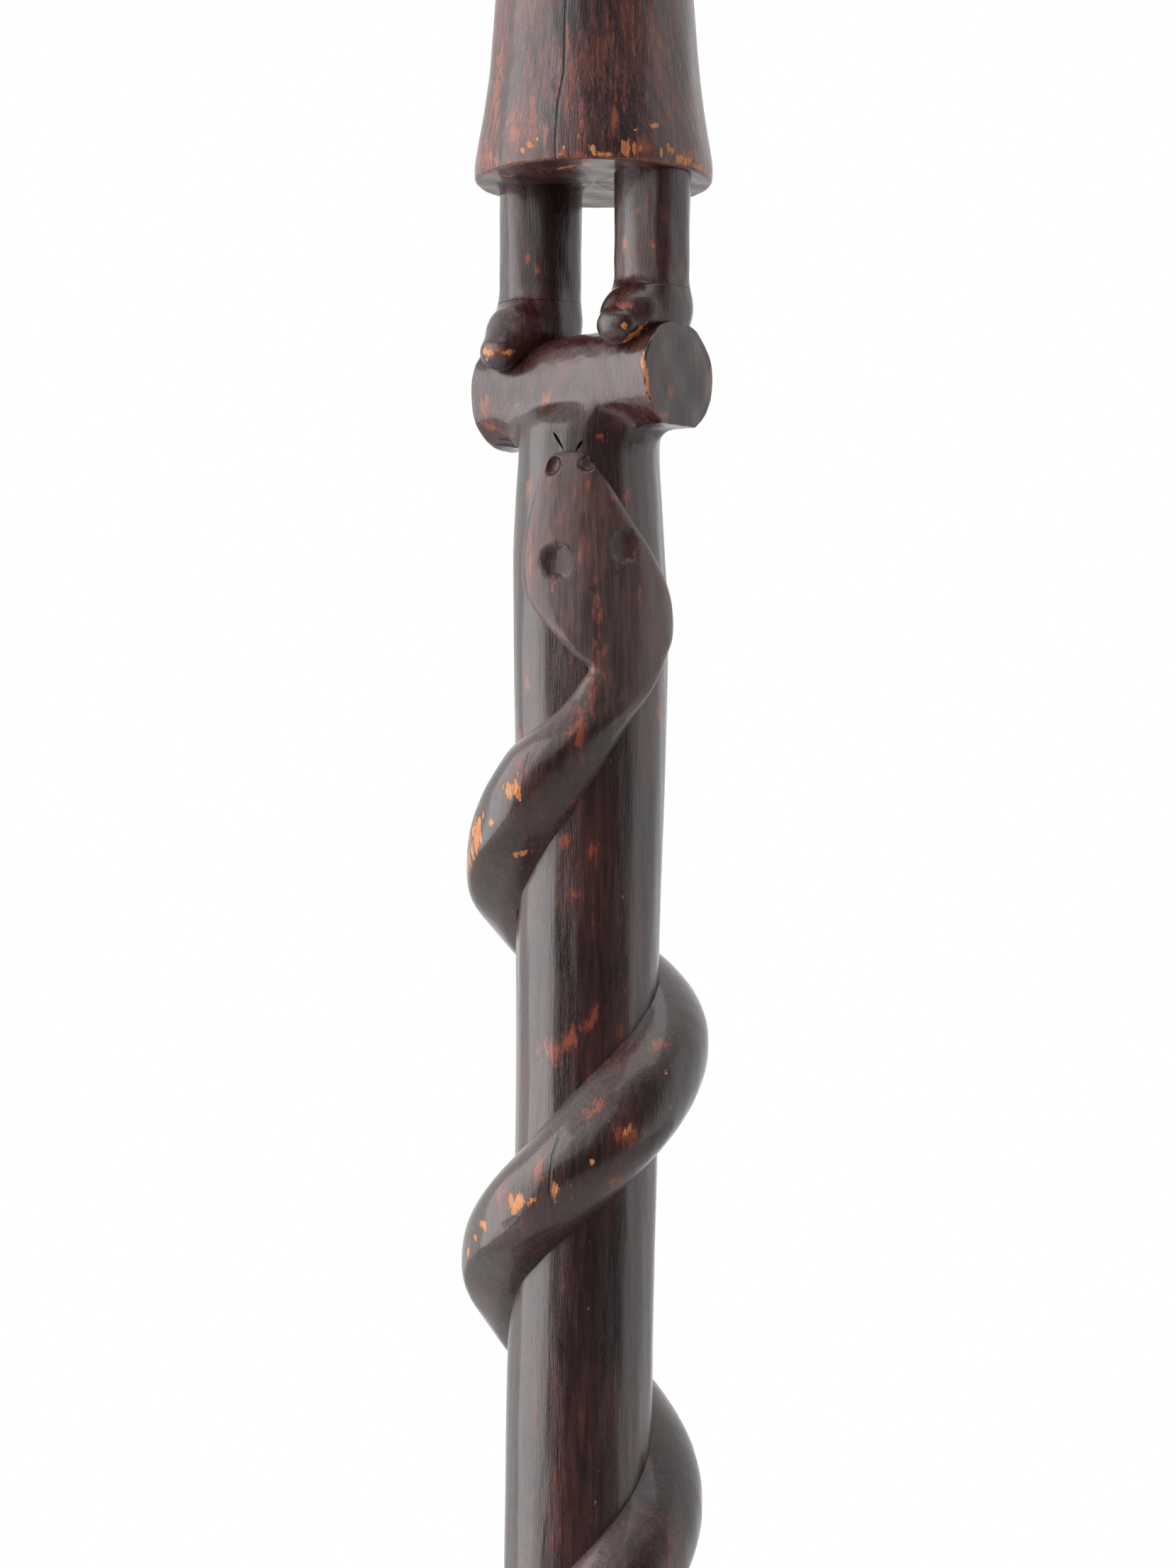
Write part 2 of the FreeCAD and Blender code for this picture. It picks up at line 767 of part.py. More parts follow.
def make_head(hair):
    """Return the head with its neck, nose and ears."""
    head = skull(0)
    neck_start = Vector(robe_shift, 0, torso_top)
    neck = upright(collar_diameter / 2 - glue_gap, neck_height + skull_height * neck_reach_share,
                   neck_start)
    tenon_start = Vector(robe_shift, 0, torso_top - neck_tenon_length)
    tenon = upright(neck_tenon_diameter / 2, neck_tenon_length + overrun, tenon_start)
    face_front = -skull_depth / 2
    nose_base = chin_level + skull_height * nose_level_share
    bridge = nose_base + nose_length
    nose_tip = Vector(robe_shift, face_front - nose_rise, nose_base + nose_rise / 2)
    root = Vector(robe_shift, face_front + overrun, bridge)
    left = Vector(robe_shift + nose_width / 2, face_front + overrun, nose_base)
    right = Vector(robe_shift - nose_width / 2, face_front + overrun, nose_base)
    faces = []
    for corners in ((left, right, root), (left, nose_tip, right), (right, nose_tip, root),
                    (root, nose_tip, left)):
        faces.append(Part.Face(Part.makePolygon(list(corners) + [corners[0]])))
    nose = Part.Solid(Part.Shell(faces))
    head = head.fuse(neck).fuse(tenon).fuse(nose)
    for side in (1, -1):
        ear = Part.makeSphere(ear_height / 2)
        flatten = FreeCAD.Matrix()
        flatten.scale(Vector(ear_thickness / ear_height, ear_depth_share, 1))
        ear = ear.transformGeometry(flatten)
        ear.translate(Vector(robe_shift + side * skull_width / 2, 0,
                             chin_level + skull_height * ear_level_share))
        head = head.fuse(ear)
    return one_solid(head.cut(hair))


def make_hair():
    """Return the crown with its close hair, above a line from the forehead down to the nape."""
    reach = skull_width + skull_height
    keep = Part.makeBox(2 * reach, 2 * reach, reach)
    keep.translate(Vector(-reach, -reach, 0))
    keep.rotate(Vector(0, 0, 0), X_AXIS, -hairline_tilt)
    keep.translate(Vector(robe_shift, 0, chin_level + skull_height * hairline_level_share))
    return one_solid(skull(hair_thickness).common(keep))


def build():
    """Make every sub-part and return them by name."""
    log_blank = make_log()
    log_in_place = in_figure_frame(log_blank)
    shaft = make_shaft(log_in_place)
    snake_head = make_snake_head(shaft)
    snake_runs = make_snake_runs(shaft, snake_head)
    shaft = cut_tongue(shaft).cut(pin_blank(pin_diameter / 2))

    torso = make_torso()
    belt = make_belt()
    left_arm = make_arm(1, torso, belt)
    right_arm = make_arm(-1, torso, belt)
    hair = make_hair()
    figure = {
        "log": cut_log_mortises(log_blank),
        "left_foot": make_foot(left_leg_place, left_leg_diameter, log_blank),
        "right_foot": make_foot(-right_leg_place, right_leg_diameter, log_blank),
        "left_leg": make_leg(left_leg_place, left_leg_diameter),
        "right_leg": make_leg(-right_leg_place, right_leg_diameter),
        "robe": make_robe(),
        "belt": belt,
        "torso": torso,
        "left_arm": left_arm,
        "right_arm": right_arm,
        "left_hand": make_hand(1, torso, left_arm),
        "right_hand": make_hand(-1, torso, right_arm),
        "head": make_head(hair),
        "hair": hair,
    }
    parts = {
        "ferrule": make_ferrule(),
        "ferrule_pin": make_ferrule_pin(),
        "shaft": one_solid(shaft),
        "snake_head": snake_head,
    }
    parts.update(snake_runs)
    for name, shape in figure.items():
        parts[name] = in_figure_frame(shape)
    return parts


os.makedirs("parts", exist_ok=True)
for node, solid in build().items():
    solid.exportStep("parts/" + node + ".step")
    print(node, "solids", len(solid.Solids), "valid", solid.isValid(),
          "volume", round(solid.Volume, 1), "top", round(solid.BoundBox.ZMax, 2))
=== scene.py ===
"""Dress the carved walking stick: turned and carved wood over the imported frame.

Pieces are made in millimetres on the bench and brought to metres when they are finished. The stick
stands upright and the snake's face looks towards -Y. The log and the robed figure are made in a frame
of their own that is turned about Z. Angles round the stick run from its front to its right.
"""
import logging
import math
from contextlib import contextmanager
from dataclasses import dataclass
from enum import Enum
from typing import Callable, Iterator, Sequence

import bpy
import numpy as np
from mathutils import Matrix, Vector


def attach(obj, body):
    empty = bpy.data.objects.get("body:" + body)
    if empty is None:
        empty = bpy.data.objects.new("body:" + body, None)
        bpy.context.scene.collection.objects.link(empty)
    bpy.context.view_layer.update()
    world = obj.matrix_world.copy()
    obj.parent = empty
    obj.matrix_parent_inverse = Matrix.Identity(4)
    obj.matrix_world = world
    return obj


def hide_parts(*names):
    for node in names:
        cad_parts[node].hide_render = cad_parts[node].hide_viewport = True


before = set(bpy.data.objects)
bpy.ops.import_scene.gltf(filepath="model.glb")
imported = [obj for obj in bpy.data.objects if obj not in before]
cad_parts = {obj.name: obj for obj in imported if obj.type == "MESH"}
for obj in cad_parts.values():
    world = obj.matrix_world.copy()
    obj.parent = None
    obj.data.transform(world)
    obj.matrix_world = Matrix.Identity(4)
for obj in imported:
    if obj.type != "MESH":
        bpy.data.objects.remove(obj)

log = logging.getLogger("walking_stick")
MM = 0.001
FULL_TURN = 2 * math.pi
FIGURE_TURN = math.radians(-40.0)
FAR = 99.0

Piece = bpy.types.Object
Points = np.ndarray
Rows = Sequence[Sequence[float]]
Shape = Callable[[Points, Points], Points]
Distance = Callable[[Points], Points]

KNIFE_WAVES = ((1.0, 0.71, 0.0, 0.33, 0.0), (1.0, 0.0, 0.57, -0.21, 1.3), (1.0, 0.43, -0.62, 0.12, 2.1),
               (0.7, 1.9, 1.2, 0.5, 0.0), (0.5, -1.7, 2.3, 0.8, 0.0))


def through(places: Points, knots: Rows) -> Points:
    """Follow a smooth line through knots.

    Args:
        places: where the line is read.
        knots: rows of (place, value, ...), in rising or falling order of place.

    Returns:
        One column for each value of the knots.
    """
    table = np.asarray(knots, dtype=float)
    table = table[np.argsort(table[:, 0])]
    where, values = table[:, 0], table[:, 1:]
    slopes = np.gradient(values, where, axis=0)
    places = np.clip(np.asarray(places, dtype=float), where[0], where[-1])
    index = np.clip(np.searchsorted(where, places) - 1, 0, len(where) - 2)
    span = (where[index + 1] - where[index])[..., None]
    share = (places - where[index])[..., None] / span
    square, cube = share ** 2, share ** 3
    return ((2 * cube - 3 * square + 1) * values[index] + (cube - 2 * square + share) * span * slopes[index]
            + (3 * square - 2 * cube) * values[index + 1] + (cube - square) * span * slopes[index + 1])


def ease(value: Points, low: float, high: float) -> Points:
    """Rise smoothly from 0 at low to 1 at high."""
    share = np.clip((value - low) / (high - low), 0, 1)
    return share * share * (3 - 2 * share)


def blend(first: Points, second: Points, radius: float) -> Points:
    """Unite two distances with a soft hollow of a radius between them."""
    share = np.clip(0.5 + 0.5 * (second - first) / radius, 0, 1)
    return second * (1 - share) + first * share - radius * share * (1 - share)


def hill(x: Points, z: Points, at: tuple[float, float], wide: float, high: float) -> Points:
    """Return a soft round hill of height 1 about a place."""
    return np.exp(-((x - at[0]) / wide) ** 2 - ((z - at[1]) / high) ** 2)


def ridge(value: Points, half: float) -> Points:
    """Return a soft ridge of height 1 where a value is 0."""
    return np.exp(-(value / half) ** 2)


def joined(x: Points, y: Points, z: Points) -> Points:
    """Join three coordinates, each a number or an array, into places."""
    return np.stack(np.broadcast_arrays(x, y, z), -1)


def around(angle: Points, reach: Points = 1.0, level: Points = 0.0, middle: Points = 0.0) -> Points:
    """Return places round an upright axis.

    Args:
        angle: radians from the front to the right.
        reach: how far they lie from the axis.
        level: their height.
        middle: how far the axis stands to the right.
    """
    return joined(middle + reach * np.sin(angle), -reach * np.cos(angle), level)


def turned_about(points: Points, angle: float) -> Points:
    """Turn points about Z by an angle in radians."""
    x, y, z = np.moveaxis(points, -1, 0)
    return joined(x * math.cos(angle) - y * math.sin(angle), x * math.sin(angle) + y * math.cos(angle), z)


def reach_out(starts: Points, ways: Points, distance: Distance, most: float) -> Points:
    """Find where rays from inside a solid leave it.

    Args:
        starts: places inside.
        ways: unit directions.
        distance: below 0 inside the solid.
        most: the farthest that a ray goes.

    Returns:
        The length of each ray.
    """
    near, far = np.zeros(len(starts)), np.full(len(starts), most)
    for _ in range(16):
        middle = (near + far) / 2
        inside = distance(starts + ways * middle[:, None]) < 0
        near, far = np.where(inside, middle, near), np.where(inside, far, middle)
    return (near + far) / 2


def down_to(ways: Points, drop: float) -> Points:
    """Return how far rays go before they have fallen by a drop, or risen by it where it is above 0."""
    fall = ways[:, 2] * math.copysign(1, drop)
    return np.where(fall > 0.05, abs(drop) / np.maximum(fall, 0.05), FAR)


def unevenness(points: Points, depth: float) -> Points:
    """Return the slight lift, up to a depth, that a hand-held knife leaves at each point."""
    wave = sum(height * np.sin(points @ np.array(way) + start) for height, *way, start in KNIFE_WAVES)
    return depth * wave / sum(row[0] for row in KNIFE_WAVES)


def in_oval(pixels: Points, x: float, y: float, wide: float, high: float, lean: float = 0.0) -> Points:
    """Read pixels in the frame of an oval.

    Args:
        pixels: places in the photograph.
        x, y: the oval's middle.
        wide, high: its size.
        lean: its turn in degrees, clockwise.

    Returns:
        How far each pixel lies to the oval's right and below its middle, 1 on its rim.
    """
    turn = math.radians(lean)
    right, down = pixels[:, 0] - x, pixels[:, 1] - y
    return np.array(((right * math.cos(turn) + down * math.sin(turn)) / (wide / 2),
                     (down * math.cos(turn) - right * math.sin(turn)) / (high / 2)))


class MarkKind(Enum):
    """What a mark on the wood shows."""

    CHIP = "chip"
    RUB = "rub"
    # A dent is sunk in the relief, dulled, and darkened with painted shade.
    DENT_SHADE = "dent_shade"


@dataclass(frozen=True)
class Mark:
    """A worn, broken or dented place as it lies in the photograph; a dent is darkened with painted shade.

    Attributes:
        kind: what it shows.
        x, y: its middle in pixels.
        wide, high: its size in pixels.
        lean: its turn in degrees, clockwise.
        strength: how strong it is, from 0 to 1.
    """

    kind: MarkKind
    x: float
    y: float
    wide: float
    high: float
    lean: float = 0.0
    strength: float = 1.0

    def level(self, pixels: Points) -> Points:
        """Return its strength in its middle, half of that on its rim and 0 beyond."""
        reach = np.hypot(*in_oval(pixels, self.x, self.y, self.wide, self.high, self.lean))
        return self.strength * np.clip(1 - reach / 2, 0, 1)


def marked(kind: MarkKind, *rows: Sequence[float]) -> tuple[Mark, ...]:
    """Return marks of one kind from rows of (x, y, wide, high, lean, strength)."""
    return tuple(Mark(kind, *row) for row in rows)


@dataclass(frozen=True)
class Crack:
    """A drying crack or a knife line through points of the photograph.

    Attributes:
        breadth: its greatest half width in millimetres.
        path: (x, y) pixels from its upper end to its lower end.
        plain: the half width that a finish draws.
    """

    breadth: float
    path: tuple[tuple[float, float], ...]
    plain: float = 0.2

    def offset(self, pixels: Points) -> tuple[Points, Points]:
        """Return each pixel's signed distance to the crack, and the crack's strength there."""
        x, y = np.array(self.path, dtype=float).T
        along = np.clip((pixels[:, 1] - y[0]) / (y[-1] - y[0]), -1, 2)
        tilt = np.interp(pixels[:, 1], y, np.gradient(x, y))
        strength = np.clip(np.minimum(along, 1 - along) * 8 + 0.15, 0, 1)
        return (pixels[:, 0] - np.interp(pixels[:, 1], y, x)) / np.sqrt(1 + tilt ** 2), strength


@dataclass(frozen=True)
class Photograph:
    """The photograph's frame and the eye that took it.

    Attributes:
        width, height: its size in pixels.
        scale: millimetres in a pixel at the stick's axis.
        eye_level, distance: the eye's height and its distance to the axis.
        roll: how far the camera was turned clockwise.
    """

    width: float = 1659.0
    height: float = 2212.0
    scale: float = 0.1345
    eye_level: float = 651.2
    distance: float = 540.0
    roll: float = math.radians(0.32)

    @property
    def focal(self) -> float:
        """The distance from the eye to the picture plane in pixels."""
        return self.distance / self.scale

    def project(self, points: Points) -> Points:
        """Return the pixel of each place."""
        depth = points[..., 1] + self.distance
        across = self.focal * points[..., 0] / depth
        above = self.focal * (points[..., 2] - self.eye_level) / depth
        turn, lean = math.cos(self.roll), math.sin(self.roll)
        return np.stack([self.width / 2 + across * turn + above * lean,
                         self.height / 2 - above * turn + across * lean], axis=-1)

    def on_round(self, x: float, y: float, radius: float, middle: float) -> tuple[float, float]:
        """Find a pixel on an upright round bar.

        Args:
            x, y: the pixel.
            radius: the bar's radius.
            middle: how far its axis stands to the right.

        Returns:
            The angle round the bar in degrees, and the level.
        """
        right, up = x - self.width / 2, self.height / 2 - y
        turn, lean = math.cos(self.roll), math.sin(self.roll)
        across, above = right * turn - up * lean, right * lean + up * turn
        slope = across / self.focal
        half = slope * middle + self.distance
        square = 1 + slope ** 2
        inside = half ** 2 - square * (middle ** 2 + self.distance ** 2 - radius ** 2)
        reach = (half - math.sqrt(max(inside, 0.0))) / square
        angle = math.degrees(math.atan2(slope * reach - middle, self.distance - reach))
        return angle, self.eye_level + above / self.focal * reach


PHOTO = Photograph()


class Bench:
    """The bench, where each piece is made with hand tools."""

    @staticmethod
    def take(piece: Piece) -> None:
        """Make a piece the only one in hand."""
        bpy.ops.object.select_all(action="DESELECT")
        bpy.context.view_layer.objects.active = piece
        piece.select_set(True)

    @classmethod
    @contextmanager
    def editing(cls, piece: Piece, part: str = "VERT", chosen: Points | None = None) -> Iterator[None]:
        """Hold a piece open for editing, with what is chosen selected.

        Args:
            piece: the piece.
            part: VERT for points or EDGE for edges.
            chosen: true for each point or edge to select; all of them if it is left out.
        """
        cls.take(piece)
        bpy.ops.object.mode_set(mode="EDIT")
        bpy.ops.mesh.select_mode(type=part)
        bpy.ops.mesh.select_all(action="SELECT" if chosen is None else "DESELECT")
        if chosen is not None:
            bpy.ops.object.mode_set(mode="OBJECT")
            items = piece.data.edges if part == "EDGE" else piece.data.vertices
            items.foreach_set("select", chosen.tolist())
            bpy.ops.object.mode_set(mode="EDIT")
        yield
        bpy.ops.object.mode_set(mode="OBJECT")

    @staticmethod
    def read(items: bpy.types.bpy_prop_collection, name: str, width: int, kind: type = float) -> Points:
        """Read a row of numbers from each of a piece's points or edges."""
        flat = np.empty(len(items) * width, dtype=kind)
        items.foreach_get(name, flat)
        return flat.reshape(-1, width)

    @classmethod
    def places(cls, piece: Piece) -> Points:
        """Return the piece's points."""
        return cls.read(piece.data.vertices, "co", 3)

    @classmethod
    def outward(cls, piece: Piece) -> Points:
        """Return the outward direction at each point."""
        return cls.read(piece.data.vertices, "normal", 3)

    @classmethod
    def ends(cls, piece: Piece) -> Points:
        """Return the numbers of the two points of each edge."""
        return cls.read(piece.data.edges, "vertices", 2, np.int32)

    @staticmethod
    def move(piece: Piece, places: Points) -> None:
        """Set the piece's points."""
        piece.data.vertices.foreach_set("co", np.ascontiguousarray(places, dtype=float).ravel())
        piece.data.update()

    @staticmethod
    def store(piece: Piece, name: str, values: Points) -> None:
        """Keep one number for each point under a name."""
        layer = piece.data.attributes.get(name) or piece.data.attributes.new(name, "FLOAT", "POINT")
        layer.data.foreach_set("value", values.astype(np.float32))

    @classmethod
    def bar(cls, name: str, sides: int, steps: int, shape: Shape) -> Piece:
        """Turn a bar and carve it to a shape; where the shape closes to a point, its points are welded.

        Args:
            name: the piece's name.
            sides: faces round the bar.
            steps: the root of the number of faces along the bar.
            shape: gives the place for a turn and a share of the length, both from 0 to 1.

        Returns:
            The closed piece.
        """
        bpy.ops.object.select_all(action="DESELECT")
        bpy.ops.mesh.primitive_cylinder_add(vertices=sides, radius=1, depth=1, end_fill_type="TRIFAN",
                                            location=(0, 0, 0.5))
        piece = bpy.context.object
        piece.name = piece.data.name = name
        bpy.ops.object.transform_apply(location=True)
        for _ in range(2):
            first, second = cls.places(piece)[cls.ends(piece).T, 2]
            with cls.editing(piece, "EDGE", np.abs(first - second) > 1e-4):
                bpy.ops.mesh.subdivide(number_cuts=steps - 1)
        places = cls.places(piece)
        middle = np.hypot(places[:, 0], places[:, 1]) < 0.5
        carved = shape(np.arctan2(places[:, 0], -places[:, 1]) / FULL_TURN, places[:, 2])
        for end in (0.0, 1.0):
            here = np.isclose(places[:, 2], end)
            carved[middle & here] = carved[~middle & here].mean(axis=0)
        cls.move(piece, carved)
        cls.store(piece, "end", np.isclose(places[:, 2] % 1.0, 0.0).astype(float))
        with cls.editing(piece):
            bpy.ops.mesh.remove_doubles(threshold=0.001)
            bpy.ops.mesh.normals_make_consistent(inside=False)
        return piece

    @classmethod
    def ring(cls, piece: Piece, inner: float) -> None:
        """Open a bar whose ends meet: the faces within its inner radius go, and it is a closed ring."""
        x, y, _ = cls.places(piece).T
        with cls.editing(piece, "VERT", np.hypot(x, y) < inner):
            bpy.ops.mesh.delete(type="VERT")
            bpy.ops.mesh.select_all(action="SELECT")
            bpy.ops.mesh.normals_make_consistent(inside=False)

    @classmethod
    def limb(cls, name: str, sides: int, steps: int, knots: Rows,
             up: Sequence[float] = (0.0, 0.0, 1.0), rounded: float = 0.06) -> Piece:
        """Make a bar that bends along a path.

        Args:
            name: the piece's name.
            sides: faces round it.
            steps: the root of the number of faces along it.
            knots: rows of (share, x, y, z, half width, half height).
            up: the side of the section that its half height follows.
            rounded: the share of the length over which each end is rounded off.
        """
        def shape(turn: Points, along: Points) -> Points:
            """Give the place for each point round the path."""
            row = through(along, knots)
            ahead = through(along + 0.01, knots)[:, :3] - through(along - 0.01, knots)[:, :3]
            ahead /= np.linalg.norm(ahead, axis=1)[:, None]
            side = np.cross(ahead, np.array(up, dtype=float))
            side /= np.linalg.norm(side, axis=1)[:, None]
            close = np.clip((rounded - np.minimum(along, 1 - along)) / rounded, 0, 1)
            width, height = row[:, 3:].T * np.sqrt(np.clip(1 - close ** 2, 0.02, 1))
            angle = turn * FULL_TURN
            return (row[:, :3] + side * (width * np.sin(angle))[:, None]
                    + np.cross(side, ahead) * (height * np.cos(angle))[:, None])

        return cls.bar(name, sides, steps, shape)

    @classmethod
    def modifier(cls, piece: Piece, kind: str, **settings: object) -> None:
        """Add a modifier with its settings and apply it."""
        cls.take(piece)
        added = piece.modifiers.new(kind.title(), kind)
        for key, value in settings.items():
            setattr(added, key, value)
        bpy.ops.object.modifier_apply(modifier=added.name)

    @classmethod
    def join(cls, name: str, pieces: Sequence[Piece]) -> Piece:
        """Hold closed pieces together as one."""
        cls.take(pieces[0])
        for piece in pieces:
            piece.select_set(True)
        bpy.ops.object.join()
        pieces[0].name = pieces[0].data.name = name
        return pieces[0]

    @classmethod
    def carve(cls, piece: Piece, depth: float = 0.12) -> None:
        """Give the piece the uneven surface of knife work."""
        places = cls.places(piece)
        cls.move(piece, places + cls.outward(piece) * unevenness(places, depth)[:, None])

    @staticmethod
    def to_stick(piece: Piece) -> Piece:
        """Turn a piece from the figure's own frame to the stick's."""
        piece.data.transform(Matrix.Rotation(FIGURE_TURN, 4, "Z"))
        return piece

    @classmethod
    def finish(cls, piece: Piece, node: str, finish: "Finish", marks: Sequence[Mark] = (),
               cracks: Sequence[Crack] = ()) -> None:
        """Mark a carved piece's wear and the painted shade of its dents, bring it to metres and give it its
        finish.

        Args:
            piece: the piece in millimetres, in the stick's frame.
            node: the solid that it stands for.
            finish: its finish.
            marks: its worn places and its dents, which are darkened with painted shade.
            cracks: its cracks.
        """
        cls.take(piece)
        WearAndShade.lay(piece, marks, cracks)
        piece.data.transform(Matrix.Scale(MM, 4))
        bpy.ops.object.shade_smooth_by_angle(angle=math.radians(50))
        piece.data.materials.clear()
        piece.data.materials.append(finish.material())
        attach(piece, "root")
        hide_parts(node)
        log.info("%s: %d faces", piece.name, len(piece.data.polygons))


class WearAndShade:
    """Writes the photographed wear and dents on a piece's points, for its finish to read; the finish darkens
    the dents with painted shade.
    """

    CRACK_REACH = 14.0
    SHARP = (0.22, 0.9)

    @classmethod
    def lay(cls, piece: Piece, marks: Sequence[Mark], cracks: Sequence[Crack]) -> None:
        """Store a number for each kind of mark, the sharpness of edges, and the cracks.

        Args:
            piece: the piece in millimetres.
            marks: its worn places and its dents, which are darkened with painted shade.
            cracks: its cracks.
        """
        places, outward = Bench.places(piece), Bench.outward(piece)
        pixels = PHOTO.project(places)
        eye = np.array([0.0, -PHOTO.distance, PHOTO.eye_level])
        seen = np.einsum("ij,ij->i", outward, eye - places) > 0
        nothing = np.zeros(len(places))
        for kind in MarkKind:
            levels = [mark.level(pixels) * seen for mark in marks if mark.kind is kind]
            Bench.store(piece, kind.value, np.max([nothing, *levels], axis=0))
        offset, strength = np.full(len(places), 9.0), nothing.copy()
        for crack in cracks:
            gap, power = crack.offset(pixels)
            near = seen & (np.abs(gap) < cls.CRACK_REACH) & (power > 0)
            offset[near] = gap[near] * PHOTO.scale / (crack.breadth / crack.plain)
            strength[near] = power[near] * np.clip(2 - 2 * np.abs(gap[near]) / cls.CRACK_REACH, 0, 1)
        ends = nothing.copy()
        if "end" in piece.data.attributes:
            piece.data.attributes["end"].data.foreach_get("value", ends)
        Bench.store(piece, "edge", cls.sharpness(piece, places, outward) * (1 - ends))
        Bench.store(piece, "gap", offset)
        Bench.store(piece, "split", strength)

    @classmethod
    def sharpness(cls, piece: Piece, places: Points, outward: Points) -> Points:
        """Return from 0 to 1 how sharply the surface bends outward at each point."""
        first, second = Bench.ends(piece).T
        step = places[second] - places[first]
        square = np.maximum((step ** 2).sum(axis=1), 1e-4)
        total, count = np.zeros(len(places)), np.zeros(len(places))
        for own, sign in ((first, -1), (second, 1)):
            np.add.at(total, own, 2 * sign * np.einsum("ij,ij->i", outward[own], step) / square)
            np.add.at(count, own, 1)
        return ease(total / np.maximum(count, 1), *cls.SHARP)


class Nodes:
    """Builds a material's nodes in reading order."""

    def __init__(self, name: str) -> None:
        """Start a material with its output and its shader."""
        self.material = bpy.data.materials.new(name)
        self.material.use_nodes = True
        self.tree = self.material.node_tree
        self.shader = self.tree.nodes["Principled BSDF"].inputs
        self.place = self.tree.nodes.new("ShaderNodeTexCoord").outputs["Object"]

    def put(self, kind: str, **settings: object) -> bpy.types.Node:
        """Add a node with its settings."""
        node = self.tree.nodes.new("ShaderNode" + kind)
        for key, value in settings.items():
            setattr(node, key, value)
        return node

    def feed(self, value: object, socket: bpy.types.NodeSocket) -> None:
        """Set a socket to a value or join it to another socket."""
        if isinstance(value, bpy.types.NodeSocket):
            self.tree.links.new(value, socket)
        else:
            socket.default_value = value

    def shade(self, **inputs: object) -> None:
        """Feed the shader's inputs; an underscore in a name stands for a space."""
        for name, value in inputs.items():
            self.feed(value, self.shader[name.replace("_", " ")])

    def math(self, operation: str, first: object, second: object = 0.0, clamp: bool = False) -> object:
        """Work out one number from two."""
        node = self.put("Math", operation=operation, use_clamp=clamp)
        self.feed(first, node.inputs[0])
        self.feed(second, node.inputs[1])
        return node.outputs[0]

    def sum(self, *terms: tuple[object, float]) -> object:
        """Add values, each times its factor."""
        total = 0.0
        for value, factor in terms:
            part = self.put("Math", operation="MULTIPLY_ADD")
            for socket, number in zip(part.inputs, (value, factor, total)):
                self.feed(number, socket)
            total = part.outputs[0]
        return total

    def noise(self, along: float, scale: float, detail: float, rough: float) -> object:
        """Read a noise on the object's own place.

        Args:
            along: its factor along the stick; below 1 it is drawn out with the grain.
            scale: waves in a metre.
            detail: how many finer waves lie on it.
            rough: how strong the finer waves are.
        """
        mapping = self.put("Mapping")
        self.feed((1, 1, along), mapping.inputs["Scale"])
        self.feed(self.place, mapping.inputs["Vector"])
        node = self.put("TexNoise", noise_dimensions="3D")
        self.feed(mapping.outputs[0], node.inputs["Vector"])
        for name, value in (("Scale", scale), ("Detail", detail), ("Roughness", rough)):
            self.feed(value, node.inputs[name])
        return node.outputs["Fac"]

    def span(self, value: object, low: float, high: float, start: float = 0.0, end: float = 1.0) -> object:
        """Map the span from low to high smoothly on start to end."""
        node = self.put("MapRange", interpolation_type="SMOOTHSTEP")
        for socket, number in zip(node.inputs[:5], (value, low, high, start, end)):
            self.feed(number, socket)
        return node.outputs[0]

    def mix(self, share: object, first: object, second: object) -> object:
        """Mix two colours."""
        node = self.put("Mix", data_type="RGBA")
        for index, value in ((0, share), (6, first), (7, second)):
            self.feed(value, node.inputs[index])
        return node.outputs[2]

    def worn(self, name: str) -> object:
        """Read one of the numbers that the wear keeps at each point."""
        return self.put("Attribute", attribute_name=name).outputs["Fac"]

    def relief(self, height: object, depth: float) -> None:
        """Raise the surface's shading by a height, 1 of which is a depth in metres."""
        bump = self.put("Bump")
        self.feed(depth, bump.inputs["Distance"])
        self.feed(height, bump.inputs["Height"])
        self.shade(Normal=bump.outputs[0])


def colour(red: int, green: int, blue: int) -> tuple[float, float, float, float]:
    """Return a screen colour as the linear one that the shader takes."""
    return tuple((part / 255) ** 2.2 for part in (red, green, blue)) + (1.0,)


@dataclass(frozen=True)
class Finish:
    """A finish and its slot; the slot is not used."""

    name: str
    slot: str

    def material(self) -> bpy.types.Material:
        """Return the finish's material, made on first use."""
        return bpy.data.materials.get(self.name) or self.make()

    def make(self) -> bpy.types.Material:
        """Build the material."""
        raise NotImplementedError


